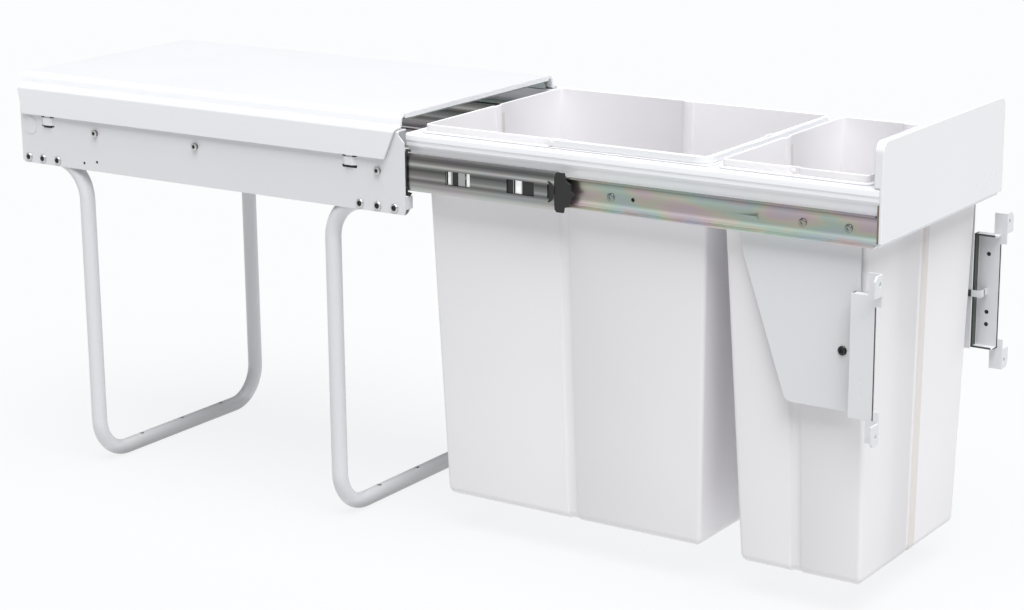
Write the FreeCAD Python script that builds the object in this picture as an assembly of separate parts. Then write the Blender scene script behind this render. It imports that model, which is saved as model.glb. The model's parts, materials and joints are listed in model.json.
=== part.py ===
"""Pull-out twin waste bin unit for a kitchen base cabinet, shown pulled fully out.

A fixed housing stands on two bent tube legs: two pressed side plates, tied by two cross rails
and covered by a moulded lid.  Two three-section ball-bearing slides carry a moulded bin frame
with a front panel, a large and a small bin, and the brackets that hold the cabinet's own door.

Millimetres.  X = 0 is the middle of the unit, -Y is the front, Z = 0 is the cabinet floor.
Y = 0 lies midway between the two legs, at the centre of the floor screws.
"""
import FreeCAD, Part
import math
import os

V = FreeCAD.Vector

# ---------------------------------------------------------------- driving dimensions
# housing
unit_width = 278.0            # over the outer faces of the two side plates
plate_length = 500.0
sheet = 1.2                   # thickness of the side plates
plate_bottom = 323.0
plate_top_flange = 12.0       # width of the flange that carries the lid
plate_bottom_flange = 9.0
plate_front_flange = 11.0
plate_front_flange_height = 17.2
plate_nose = 11.0             # the front top corner is cut off by this much
weld_seat = 9.5               # radius of the round seat pressed at the rear rail
weld_seat_back = 13.4         # its centre ahead of the plate's rear edge

# lances in the side plates, which hold the lid's hooks
lance_length = 18.0
lance_height = 8.0
lance_bow = 2.6
lance_slope = 4.0             # length of each of a strap's slopes
lance_front = 65.0            # front lance behind the plates' front edge
lance_rear = 39.0             # rear lance ahead of the plates' rear edge
lance_drop = 6.0              # lances' level below the lid's skirt
hook_clearance = 0.15

# lid
lid_top = 418.0
lid_wall = 2.5
lid_overhang = 3.5            # skirt face outside the side plate
lid_ledge = 406.0             # level of the ledge along each side
lid_skirt_bottom = 375.5
lid_deck_inset = 18.0         # flat top edge, in from the skirt face
lid_front_setback = 8.5       # lid's front edge behind the plates' front edge
lid_end_slant = 14.0          # front end of the skirt runs back this far

# legs
tube_diameter = 16.0
tube_bend = 40.0              # centre-line radius
tube_flats = 14               # the round tube and its bends are drawn with this many flats
bend_chords = 4
leg_screw_reach = 4.5         # screw inside the tube
leg_setback = 94.5            # front leg behind the plates' front edge
leg_rear_setback = 81.0       # rear leg ahead of the plates' rear edge
leg_run_level = 329.0         # centre of the run that is screwed to the side plate
leg_end_gap = 6.5             # tube end behind the plate's edge
leg_hole_steps = (6.0, 26.0, 47.0)  # leg screws, back from the end of the tube
floor_screw_pitch = 66.0
floor_screw_hole = 5.2

# slides
slide_level = 363.5
slide_thickness = 12.7
slide_height = 45.4
slide_steel = 1.2
outer_ball = 4.76
inner_ball = 3.18
ball_clearance = 0.06
cage_sheet = 0.5
slide_setback = 1.0           # outer section's front end behind the plates' front edge
slide_rear_gap = 27.0         # outer section's rear end ahead of the plates' rear edge
middle_shorter = 17.0         # middle section shorter than the outer one
inner_longer = 4.0            # inner section longer than the outer one
rivet_front = 30.2            # from the outer section's front end
rivet_middle = 257.7
rivet_rear = 78.9             # from its rear end
windows = ((93.0, 121.0), (22.0, 52.0), (1.5, 7.5))          # from the middle section's front end
frame_screw_steps = (26.0, 69.3, 261.4)                      # from the inner section's front end
spare_hole_steps = (238.4, 421.0)
tab_step = 126.0
stop_blocks_back = ((39.5, 44.5), (60.5, 66.5), (115.0, 123.5))  # from the inner section's rear end
inner_cage_step = 15.0        # inner cage behind the middle section's front end
outer_cage_step = 20.0        # outer cage behind the plates' front edge
outer_cage_length = 130.0
inner_cage_length = 120.0
balls_per_row = 2

# how far the unit is pulled out, and where the pieces lie when it is
travel_short = 26.0           # carriage's travel less than the plates' length
middle_share = 0.346          # of the carriage's travel that the middle section makes
shut_stand_off = 12.5         # panel face ahead of the plates when shut

# bin frame and front panel
frame_shorter = 11.5          # frame shorter than the plates
frame_top = 400.5
frame_depth = 51.0
frame_rail = 3.8              # wall beside the slide
frame_overhang = 4.2          # moulded edge over the slide
frame_front_wall = 13.5
frame_rear_wall = 13.5
frame_divider = 11.0
frame_skin = 2.5
small_bay = 144.0
panel_thickness = 3.0
panel_bottom = 352.4
panel_height = 88.6
panel_corner = 10.0
panel_lip = 5.0

# bins
bin_wall = 2.0
bin_side_gap = 1.3            # between a bin and the side bracket
bin_end_gap = 1.5             # between a bin and the ends of its bay
bin_rim_top = 409.0
bin_flange = 4.5
bin_flange_thickness = 1.5
bin_seat_gap = 0.3            # play under the flange
bin_corner = 12.0
bin_foot = 4.0                # chamfer round a bin's bottom
groove_width = 13.0
groove_depth = 2.5
large_bin_bottom = 36.6
small_bin_bottom = 31.8
bin_bottom_width = 199.0
large_bin_front_taper = 13.7
large_bin_rear_taper = 6.7
small_bin_front_taper = 5.6
small_bin_rear_taper = 14.5
pivot_pin = 3.6
pivot_clearance = 0.1
handle_thickness = 3.0
handle_height = 6.0
handle_pivot_step = 2.25      # handle pivot behind the groove in the bin's side
handle_gap = 0.5

# side and door brackets
bracket_sheet = 1.2
bracket_rear = 133.0          # along the top edge, behind the panel's rear face
bracket_top = 381.0
bracket_shoulder = 332.0
bracket_foot = 88.0           # bottom edge's rear end, behind the panel's rear face
bracket_bottom = 200.0
bracket_front = 11.5          # front edge behind the panel's rear face
bracket_clearance = 0.2       # round the bracket's front edge in the frame
clamp_back = 33.9             # clamp screw behind the panel's rear face
clamp_level = 254.0
clamp_head = 7.6
clamp_arm_height = 36.0
clamp_arm_gap = 1.2           # arm ahead of the side bracket's front edge
door_sheet = 1.6
door_bracket_out = 12.3       # inner face of its web outside the side bracket
door_bracket_depth = 23.0
door_bracket_height = 110.0
door_bracket_bottom = 200.0
door_bracket_lip = 8.0
door_bracket_rear = 20.5      # its rear edge behind the panel's rear face
spare_hole = 4.4
door_ear_height = 20.0
door_ear_width = 15.0
door_face_ahead = 5.0         # door's back ahead of the panel face
door_screw_hole = 5.0

# fasteners
screw_head = 8.5
screw_head_height = 1.8
frame_screw_head = 7.5
screw_shank = 4.0
screw_clearance = 0.1
rivet_head = 7.0
rivet_shank = 4.2
rivet_head_height = 0.8
rivet_clearance = 0.05

# how finely small corners and the slides' tracks are drawn
chord_limit = 7.0             # corners up to this radius are drawn with chords
corner_step = 30.0            # degrees for each chord of a corner
track_step = 28.0             # and of a slide's track

# ---------------------------------------------------------------- places that follow
half = unit_width / 2
plate_in = half - sheet
leg_pitch = plate_length - leg_setback - leg_rear_setback
front = -leg_pitch / 2 - leg_setback          # plates' front edge
rear = front + plate_length
slide_in = plate_in - slide_thickness          # outer face of the bin frame
plate_top = lid_ledge - lid_wall               # the lid's ledge rests on the top flange
tube_r = tube_diameter / 2
tube_x = plate_in - tube_r
carriage_travel = plate_length - travel_short
frame_length = plate_length - frame_shorter
panel_face = front - shut_stand_off - carriage_travel
panel_back = panel_face + panel_thickness
frame_rear = panel_back + frame_length
rail_in = slide_in - frame_rail
frame_half = slide_in + frame_overhang
small_bay_front = panel_back + frame_front_wall
small_bay_rear = small_bay_front + small_bay
large_bay_front = small_bay_rear + frame_divider
large_bay_rear = frame_rear - frame_rear_wall
bin_half = rail_in - bracket_sheet - bin_side_gap
lance_places = (front + lance_front, rear - lance_rear)
lance_level = lid_skirt_bottom - lance_drop


# ---------------------------------------------------------------- helpers
def chord_arc(start, end, centre):
    """Points from start to end round a centre, one for every step of corner_step or less."""
    first, last = start - centre, end - centre
    sweep = first.getAngle(last)
    across = last - first * math.cos(sweep)
    steps = max(2, math.ceil(math.degrees(sweep) / corner_step))
    points = []
    for i in range(steps + 1):
        angle = sweep * i / steps
        points.append(centre + first * math.cos(angle) + across * (math.sin(angle) / math.sin(sweep)))
    return points


def rounded(points, radii, closed=False):
    """A wire of straight runs joined by tangent arcs; radii is one number or one per point.

    Corners up to chord_limit are drawn as a few chords.
    """
    count = len(points)
    if isinstance(radii, (int, float)):
        radii = [radii] * count
    starts, ends, arcs = [], [], []
    for i, point in enumerate(points):
        if radii[i] <= 0 or (not closed and i in (0, count - 1)):
            starts.append(point)
            ends.append(point)
            arcs.append(None)
            continue
        back = (points[i - 1] - point).normalize()
        ahead = (points[(i + 1) % count] - point).normalize()
        angle = back.getAngle(ahead)
        if angle > math.pi - 1e-6:
            starts.append(point)
            ends.append(point)
            arcs.append(None)
            continue
        reach = radii[i] / math.tan(angle / 2)
        middle = (back + ahead).normalize()
        start = point + back * reach
        end = point + ahead * reach
        top = point + middle * (radii[i] / math.sin(angle / 2) - radii[i])
        starts.append(start)
        ends.append(end)
        if radii[i] <= chord_limit:
            centre = point + middle * (radii[i] / math.sin(angle / 2))
            arcs.append(Part.makePolygon(chord_arc(start, end, centre)))
        else:
            arcs.append(Part.Arc(start, top, end).toShape())
    edges = []
    for i in range(count):
        if arcs[i]:
            edges.extend(arcs[i].Edges)
        following = (i + 1) % count
        if following == 0 and not closed:
            break
        if ends[i].distanceToPoint(starts[following]) > 1e-6:
            edges.append(Part.LineSegment(ends[i], starts[following]).toShape())
    return Part.Wire(edges)


def prism(points, radii, direction):
    """A closed outline with rounded corners, pushed along a direction."""
    return Part.Face(rounded(points, radii, True)).extrude(direction)


def strip(wire, thickness, direction):
    """Sheet metal: a centre line of this thickness, pushed along a direction."""
    edge = wire.makeOffset2D(-thickness / 2, 2, False, True, False)
    return edge.makeOffset2D(thickness, 2, True, True, False).extrude(direction)


def box(x0, x1, y0, y1, z0, z1):
    """A block between three pairs of coordinates, given in any order."""
    low = V(min(x0, x1), min(y0, y1), min(z0, z1))
    return Part.makeBox(abs(x1 - x0), abs(y1 - y0), abs(z1 - z0), low)


def rod(radius, start, end):
    """A round bar from one point to another."""
    axis = end - start
    return Part.makeCylinder(radius, axis.Length, start, axis)


def flat_rod(radius, start, end, sides=6):
    """A bar with flats, corners on the radius: small repeated pins and the holes for them."""
    axis = end - start
    across = V(0, 0, 1) if abs(axis.z) < 1e-9 else V(1, 0, 0)
    other = axis.cross(across).normalize()
    corners = []
    for i in range(sides + 1):
        angle = 2 * math.pi * (i + 0.5) / sides
        corners.append(start + across * (radius * math.cos(angle)) + other * (radius * math.sin(angle)))
    return Part.Face(Part.makePolygon(corners)).extrude(axis)


def mirrored(shape):
    """The same piece for the other side of the unit."""
    return shape.mirror(V(0, 0, 0), V(1, 0, 0))


def save(name, shape):
    """Writes one node, and says so."""
    shape = shape.removeSplitter() if shape.ShapeType != "Compound" else shape
    shape.exportStep("parts/" + name + ".step")
    print(name, len(shape.Solids), "solid(s),", round(shape.Volume / 1000, 2), "cm3, valid", shape.isValid())


def save_pair(name, shape):
    """Writes a piece of the left side and its mirror image on the right."""
    save("left_" + name, shape)
    save("right_" + name, mirrored(shape))


def screw(place, inward, length, head=screw_head):
    """A screw with its head standing on place and its shank running inward."""
    direction = V(inward, 0, 0)
    top = place - direction * screw_head_height
    body = flat_rod(head / 2, top, place, 12)
    return body.fuse(flat_rod(screw_shank / 2, place, place + direction * length))


# ---------------------------------------------------------------- housing
def side_plate():
    """Left side plate: pressed sheet with three flanges, lances, an embossing and its holes."""
    x = -plate_in
    top, low = plate_top, plate_bottom
    bend = 1.5 + sheet / 2
    seam = 2 * bend
    nose_end = front + plate_nose - seam
    outline = [V(x, front, low), V(x, front, top - plate_nose), V(x, nose_end, top - seam),
               V(x, rear, top - seam), V(x, rear, low)]
    plate = prism(outline, [4, 0, 0, 0, 4], V(-sheet, 0, 0))
    flange = [V(x - sheet / 2, 0, top - 8), V(x - sheet / 2, 0, top - sheet / 2),
              V(x + plate_top_flange, 0, top - sheet / 2)]
    top_flange = strip(rounded(flange, bend), sheet, V(0, rear - nose_end, 0))
    top_flange.translate(V(0, nose_end, 0))
    run_front = -leg_pitch / 2 + tube_r + 4
    run_rear = leg_pitch / 2 - tube_r - 4
    foot = [V(x - sheet / 2, 0, low + 8), V(x - sheet / 2, 0, low + sheet / 2),
            V(x + plate_bottom_flange, 0, low + sheet / 2)]
    foot_flange = strip(rounded(foot, bend), sheet, V(0, run_rear - run_front, 0))
    foot_flange.translate(V(0, run_front, 0))
    lip = [V(x - sheet / 2, front + 8, 0), V(x - sheet / 2, front + sheet / 2, 0),
           V(x + plate_front_flange, front + sheet / 2, 0)]
    front_flange = strip(rounded(lip, bend), sheet, V(0, 0, plate_front_flange_height - 5))
    front_flange.translate(V(0, 0, low + 5))
    plate = plate.fuse([top_flange, foot_flange, front_flange])
    plate = plate.cut(side_holes())
    for y in lance_places:
        plate = lanced(plate, y)
    return embossed(plate)


def leg_screw_places():
    """(y, z) of the screws that hold the tube ends to a side plate."""
    places = []
    for step in leg_hole_steps:
        places.append((front + leg_end_gap + step, leg_run_level))
        places.append((rear - leg_end_gap + 3.0 - step, leg_run_level))
    return places


def slide_rivet_places():
    """y of the rivets that hold an outer slide section to its plate."""
    slide_rear = outer_slide_front + outer_slide_length
    return (outer_slide_front + rivet_front, outer_slide_front + rivet_middle, slide_rear - rivet_rear)


def side_holes():
    """Everything that is cut through the left side plate."""
    x0, x1 = -half - 5, -plate_in + 5
    tools = []
    for y, z in leg_screw_places():
        tools.append(flat_rod(screw_shank / 2 + screw_clearance, V(x0, y, z), V(x1, y, z)))
    for y in slide_rivet_places():
        start, end = V(x0, y, slide_level), V(x1, y, slide_level)
        tools.append(flat_rod(rivet_shank / 2 + rivet_clearance, start, end, 8))
    return tools


def lanced(plate, y):
    """Cuts two slots and bows the strap between them outwards, for the lid's hook."""
    length, height, bow, slope = lance_length, lance_height, lance_bow, lance_slope
    cut = box(-half - 2, -plate_in + 0.5, y - length / 2, y + length / 2,
              lance_level - height / 2 - 2, lance_level + height / 2 + 2)
    x = -plate_in - sheet / 2
    ends = (length / 2 + 1, length / 2 - 1, length / 2 - 1 - slope)
    path = [V(x, y - ends[0], 0), V(x, y - ends[1], 0), V(x - bow, y - ends[2], 0),
            V(x - bow, y + ends[2], 0), V(x, y + ends[1], 0), V(x, y + ends[0], 0)]
    bridge = strip(rounded(path, 0), sheet, V(0, 0, height))
    bridge.translate(V(0, 0, lance_level - height / 2))
    return plate.cut(cut).fuse(bridge)


def embossed(plate):
    """Presses a round seat outwards near the rear edge, where the rear rail is welded."""
    centre = V(-half, rear - weld_seat_back, slide_level)
    return plate.fuse(flat_rod(weld_seat, centre - V(0.5, 0, 0), centre, 18))


def lid_outline(x_out, z_low):
    """Half of the lid's outer section, from the skirt up to the middle, as points and radii."""
    points = [V(-x_out, 0, z_low), V(-x_out, 0, lid_ledge), V(-x_out + 9.0, 0, lid_ledge + 0.4),
              V(-x_out + 11.5, 0, lid_top)]
    radii = [0, 2 * lid_wall, 2.0, 6.4]
    other = [V(-p.x, p.y, p.z) for p in reversed(points)]
    return points + other, radii + list(reversed(radii))


def top_lid():
    """Moulded lid: hollow section with ledges and skirts, slanted ends, hooks and ribs."""
    x_out = half + lid_overhang
    y0 = front + lid_front_setback
    length = plate_length - lid_front_setback
    points, radii = lid_outline(x_out, lid_skirt_bottom - 3 * lid_wall)
    face = Part.Face(rounded(points, radii, True))
    hollow = face.makeOffset2D(-lid_wall)
    lid = face.extrude(V(0, length, 0)).cut(hollow.extrude(V(0, length, 0)))
    lid.translate(V(0, y0, 0))
    lid = lid.cut(box(-200, 200, y0 - 1, rear + 1, 0, lid_skirt_bottom))
    drop = lid_ledge - lid_skirt_bottom
    for side in (-1, 1):
        x = side * (x_out + 5)
        wedge = [V(x, y0 - 1, lid_ledge), V(x, y0, lid_ledge), V(x, y0 + lid_end_slant, lid_skirt_bottom - 1),
                 V(x, y0 - 1, lid_skirt_bottom - 1)]
        tail = [V(x, rear + 1, lid_ledge), V(x, rear, lid_ledge),
                V(x, rear - 0.18 * drop, lid_skirt_bottom - 1), V(x, rear + 1, lid_skirt_bottom - 1)]
        reach = V(-side * 15, 0, 0)
        lid = lid.cut([prism(wedge, 0, reach), prism(tail, 0, reach)])
    deck = x_out - lid_deck_inset
    for y, lip in ((y0, 2.2), (rear - lid_wall, 9.0)):
        lid = lid.fuse(box(-deck, deck, y, y + lid_wall, lid_top - lid_wall - lip, lid_top - 1))
    for x in (-80, 0, 80):
        lid = lid.fuse(box(x - 1, x + 1, y0 + 45, rear - 1, lid_top - lid_wall - 2.2, lid_top - 1))
    return lid.fuse(lid_hooks())


def lid_hooks():
    """Hooks that hang from the skirts and pass behind the lances' straps."""
    hook_half = lance_length / 2 - 1 - lance_slope - hook_clearance
    inner, outer = half + hook_clearance, half + lance_bow - sheet - hook_clearance
    hooks = []
    for side in (-1, 1):
        root = side * (half + lid_overhang - lid_wall / 2)
        for y in lance_places:
            y0, y1 = y - hook_half, y + hook_half
            hooks.append(box(side * inner, side * outer, y0, y1, lance_level - 3, lid_skirt_bottom + 4))
            hooks.append(box(side * inner, root, y0, y1, lid_skirt_bottom, lid_skirt_bottom + 4))
    return hooks


def cross_rail_front():
    """Plated channel under the lid's front edge, its feet standing on the plates' top flanges."""
    inside = plate_in - plate_top_flange + 0.6
    low, high = plate_top, bin_rim_top + 2.2
    thick = 1.2
    path = [V(-inside - 3.2, 0, low + thick / 2), V(-inside, 0, low + thick / 2), V(-inside + 2, 0, high),
            V(inside - 2, 0, high), V(inside, 0, low + thick / 2), V(inside + 3.2, 0, low + thick / 2)]
    rail = strip(rounded(path, 1.2), thick, V(0, 20, 0))
    rail.translate(V(0, front + lid_front_setback + 5, 0))
    return rail


def cross_rail_rear():
    """Pressed strip that ties the plates behind the slides, spot-welded to both."""
    thick = 1.5
    path = [V(-plate_in + thick / 2, rear - 24, 0), V(-plate_in + thick / 2, rear - 2, 0),
            V(plate_in - thick / 2, rear - 2, 0), V(plate_in - thick / 2, rear - 24, 0)]
    rail = strip(rounded(path, 2.5), thick, V(0, 0, 26))
    rail.translate(V(0, 0, slide_level - 13))
    return rail


def chords(points, radius, steps):
    """A polyline whose corners are bends of this radius, each bend drawn as a few chords."""
    route = [points[0]]
    for i in range(1, len(points) - 1):
        back = (points[i - 1] - points[i]).normalize()
        ahead = (points[i + 1] - points[i]).normalize()
        centre = points[i] + (back + ahead) * radius
        for step in range(steps + 1):
            angle = math.pi / 2 * step / steps
            route.append(centre - ahead * (radius * math.cos(angle)) - back * (radius * math.sin(angle)))
    return route + [points[-1]]


def leg(direction):
    """One bent tube leg; its ends turn forwards (-1) or backwards (+1) along the side plates."""
    y = direction * leg_pitch / 2
    end = (front if direction < 0 else rear) - direction * leg_end_gap
    corners = [V(-tube_x, end, leg_run_level), V(-tube_x, y, leg_run_level), V(-tube_x, y, tube_r),
               V(tube_x, y, tube_r), V(tube_x, y, leg_run_level), V(tube_x, end, leg_run_level)]
    route = Part.makePolygon(chords(corners, tube_bend, bend_chords))
    tube = route.makePipeShell([tube_ring(corners[0])], True, False, 1)
    radius = screw_shank / 2 + screw_clearance
    tools = []
    for x in (-floor_screw_pitch, 0, floor_screw_pitch):
        tools.append(rod(floor_screw_hole / 2, V(x, y, -1), V(x, y, tube_diameter + 1)))
    for hole_y, z in leg_screw_places():
        if hole_y * direction > 0:
            for side in (-1, 1):
                end_x = side * (plate_in - leg_screw_reach - 0.5)
                tools.append(flat_rod(radius, V(end_x, hole_y, z), V(side * (half + 1), hole_y, z)))
    return tube.cut(tools)


def tube_ring(centre):
    """The tube's round section at its end, drawn with flats whose middles lie on the tube."""
    radius = tube_r / math.cos(math.pi / tube_flats)
    corners = []
    for i in range(tube_flats + 1):
        angle = 2 * math.pi * (i + 0.5) / tube_flats
        corners.append(centre + V(radius * math.cos(angle), 0, radius * math.sin(angle)))
    return Part.makePolygon(corners)


def leg_screws(direction):
    """The button-head screws of one leg, three at each end."""
    screws = []
    for y, z in leg_screw_places():
        if y * direction > 0:
            for side in (-1, 1):
                screws.append(screw(V(side * half, y, z), -side, sheet + leg_screw_reach))
    return Part.makeCompound(screws)


# ---------------------------------------------------------------- slides
# A slide's section is drawn with s, the depth from the plate, and h, the height from its centre.
def at(s, h, y=0.0):
    """The point of the left slide's section at depth s and height h."""
    return V(-plate_in + s, y, slide_level + h)


def polar(centre, radius, degrees):
    """(s, h) of a point on a circle in the slide's section."""
    angle = math.radians(degrees)
    return centre[0] + radius * math.cos(angle), centre[1] + radius * math.sin(angle)


outer_track = outer_ball / 2 + ball_clearance + slide_steel / 2
inner_track = inner_ball / 2 + ball_clearance + slide_steel / 2
outer_ball_at = (4.9, slide_height / 2 - slide_steel / 2 - outer_track)
crossing = polar(outer_ball_at, outer_track, 315)
inner_ball_at = (crossing[0] + inner_track * math.cos(math.radians(45)),
                 crossing[1] - inner_track * math.sin(math.radians(45)))


def track(centre, radius, a0, a1):
    """(s, h) of points on a ball track's arc, from one angle to another."""
    steps = math.ceil(abs(a1 - a0) / track_step)
    return [polar(centre, radius, a0 + (a1 - a0) * i / steps) for i in range(steps + 1)]


def outer_line():
    """Upper half of the outer section: web, slope and the track over the balls."""
    curve = track(outer_ball_at, outer_track, 160, 20)
    end = curve[-1]
    web = [(slide_steel / 2, 0.0), (slide_steel / 2, curve[0][1] - 4.0)]
    return web + curve + [(end[0] + 0.2, end[1] - 0.6)]


def middle_line():
    """Upper half of the middle section: web, the outer balls' track and the inner balls' track."""
    web_s = 2.9
    lower = track(outer_ball_at, outer_track, 262, 315)
    upper = track(inner_ball_at, inner_track, 135, 20)
    end = upper[-1]
    return ([(web_s, 0.0), (web_s, 11.5), (3.6, lower[0][1] + 0.1)] + lower + upper[1:]
            + [(end[0] + 0.2, end[1] - 0.6)])


def inner_line():
    """Upper half of the inner section: web on the bin frame and the track under the inner balls."""
    web_s = slide_thickness - slide_steel / 2
    curve = track(inner_ball_at, inner_track, 300, 235)
    end = curve[-1]
    return [(web_s, 0.0), (web_s, curve[0][1] - 1.4)] + curve + [(end[0] - 1.1, end[1] - 0.2)]


def section_wire(points):
    """The whole centre line of a section, from its lower to its upper edge."""
    lower = [at(s, -h) for s, h in reversed(points)]
    upper = [at(s, h) for s, h in points[1:]]
    return rounded(lower + upper, 0)


def slide_bar(points, thickness, length, y0):
    """A slide section rolled from sheet, standing at y0."""
    bar = strip(section_wire(points), thickness, V(0, length, 0))
    bar.translate(V(0, y0, 0))
    return bar


def slot(s0, s1, y0, y1, half_height):
    """A block through the slide's web, for windows."""
    return box(-plate_in + s0, -plate_in + s1, y0, y1, slide_level - half_height, slide_level + half_height)


outer_slide_front = front + slide_setback
outer_slide_length = plate_length - slide_setback - slide_rear_gap
middle_slide_front = front - middle_share * carriage_travel - slide_setback
middle_slide_length = outer_slide_length - middle_shorter
inner_slide_front = panel_back + 2.5
inner_slide_length = outer_slide_length + inner_longer
inner_slide_rear = inner_slide_front + inner_slide_length
frame_screw_places = tuple(inner_slide_front + step for step in frame_screw_steps)
spare_hole_places = tuple(inner_slide_front + step for step in spare_hole_steps)
stop_block_places = tuple((inner_slide_rear - b, inner_slide_rear - a) for a, b in stop_blocks_back)


def outer_slide():
    """Fixed section with the rivets that were closed on the side plate."""
    bar = slide_bar(outer_line(), slide_steel, outer_slide_length, outer_slide_front)
    rivets = []
    for y in slide_rivet_places():
        rivets.append(flat_rod(rivet_shank / 2, at(-sheet, 0, y), at(slide_steel / 2, 0, y), 8))
        rivets.append(flat_rod(rivet_head / 2, at(-sheet - rivet_head_height, 0, y), at(-sheet, 0, y), 12))
    return bar.fuse(rivets)


def middle_slide():
    """Middle section, with three windows in its web."""
    bar = slide_bar(middle_line(), slide_steel, middle_slide_length, middle_slide_front)
    y = middle_slide_front
    return bar.cut([slot(1.5, 3.7, y + a, y + b, 6.5) for a, b in windows])


def inner_slide():
    """Section on the bin frame, with screw holes and a lanced tab."""
    bar = slide_bar(inner_line(), slide_steel, inner_slide_length, inner_slide_front)
    holes = []
    for y in frame_screw_places + spare_hole_places:
        radius = screw_shank / 2 + screw_clearance
        holes.append(flat_rod(radius, at(slide_thickness - 3, 0, y), at(slide_thickness + 1, 0, y)))
    y = inner_slide_front + tab_step
    face = slide_thickness - slide_steel
    tab = [at(face, 4.0, y - 14), at(face, -4.0, y - 14), at(face, 0.0, y + 14)]
    apex = at(face - 1.6, 0.0, y - 13)
    return bar.cut(holes).fuse(pyramid(tab, apex))


def pyramid(base, apex):
    """A solid from a triangle and a point."""
    faces = [Part.Face(Part.makePolygon(base + [base[0]]))]
    for i in range(3):
        corner, following = base[i], base[(i + 1) % 3]
        faces.append(Part.Face(Part.makePolygon([corner, following, apex, corner])))
    solid = Part.Solid(Part.Shell(faces))
    if solid.Volume < 0:
        solid.reverse()
    return solid


def cage(points, length, y0, ball_at, ball_size, openings=()):
    """A ball cage: thin strip round the web with a pocket for each ball."""
    body = slide_bar(points, cage_sheet, length, y0)
    pocket = ball_size / 2 + ball_clearance
    deep = 2 * cage_sheet
    tools = []
    for y, flip in ball_places(length, y0):
        x, z = -plate_in + ball_at[0], slide_level + flip * ball_at[1]
        tools.append(box(x - pocket, x + pocket, y - pocket, y + pocket, z - deep, z + deep))
    for a, b in openings:
        tools.append(slot(3.0, 5.0, a, b, 6.0))
    return body.cut(tools)


def ball_places(length, y0):
    """(y, upper or lower) of each ball in a cage."""
    pitch = length / balls_per_row
    places = []
    for flip in (-1, 1):
        for i in range(balls_per_row):
            places.append((y0 + pitch * (i + 0.5), flip))
    return places


def ball(size, centre):
    """A bearing ball drawn with fourteen flats, its corners on the true sphere."""
    reach = size / 2 / math.sqrt(2)
    cube = box(-reach, reach, -reach, reach, -reach, reach)
    for corner in (V(1, 1, 1), V(-1, 1, 1), V(1, -1, 1), V(1, 1, -1)):
        for sign in (-1, 1):
            axis = V(corner.x * sign, corner.y * sign, corner.z * sign)
            facing = FreeCAD.Rotation(V(0, 0, 1), axis)
            block = box(-size, size, -size, size, 0, size)
            block.Placement = FreeCAD.Placement(axis * (2 * reach / 3), facing)
            cube = cube.cut(block)
    cube.translate(centre)
    return cube


def balls(length, y0, ball_at, size):
    """The balls of one cage."""
    return Part.makeCompound([ball(size, at(ball_at[0], flip * ball_at[1], y))
                              for y, flip in ball_places(length, y0)])


def outer_cage_line():
    """Centre line of the cage between the outer and middle sections."""
    s, h = outer_ball_at
    return [(1.75, 0.0), (1.75, h - 5.0), (2.45, h - 1.6), (3.3, h), (s + 2.1, h)]


def inner_cage_line():
    """Centre line of the cage between the middle and inner sections."""
    s, h = inner_ball_at
    return [(4.2, 0.0), (4.2, h - 2.9), (5.1, h - 0.75), (6.7, h - 0.1), (s + 1.25, h)]


outer_cage_front = front + outer_cage_step
inner_cage_front = middle_slide_front + inner_cage_step


def outer_end_cap():
    """Black moulding on the front end of the outer section, straight-sided."""
    reach = slide_height / 2 - 0.6
    path = [at(8.0, -reach + 2.0), at(5.0, -reach), at(1.6, -reach + 3.4), at(0.7, -reach + 7.0),
            at(0.7, reach - 7.0), at(1.6, reach - 3.4), at(5.0, reach), at(8.0, reach - 2.0)]
    bar = strip(rounded(path, 0), slide_steel, V(0, 2.5, 0))
    bar.translate(V(0, outer_slide_front - 2.5, 0))
    return bar


def middle_buffer():
    """Black buffer at the front end of the middle section, with a tongue behind the web."""
    y = middle_slide_front
    outline = [V(0, y, 16.0), V(0, y - 2, 18.4), V(0, y - 10, 18.4), V(0, y - 12, 11.5), V(0, y - 17, 8.5),
               V(0, y - 17.5, 2.5), V(0, y - 21.5, -0.5), V(0, y - 17.5, -3.5), V(0, y - 16, -11.5),
               V(0, y - 10, -13.5), V(0, y - 9, -18.4), V(0, y - 2, -18.4), V(0, y, -16.0)]
    head = prism([p + V(-plate_in + 2.8, 0, slide_level) for p in outline], 0, V(2.4, 0, 0))
    tongue = slot(3.5, 5.0, y, y + 12.5, 8.5)
    return head.fuse(tongue)


def stop_blocks():
    """White nylon blocks on the inner section, seen through the middle section's windows."""
    blocks = []
    for a, b in stop_block_places:
        blocks.append(slot(6.5, slide_thickness - slide_steel, a, b, 7.0))
    return Part.makeCompound(blocks)


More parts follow.
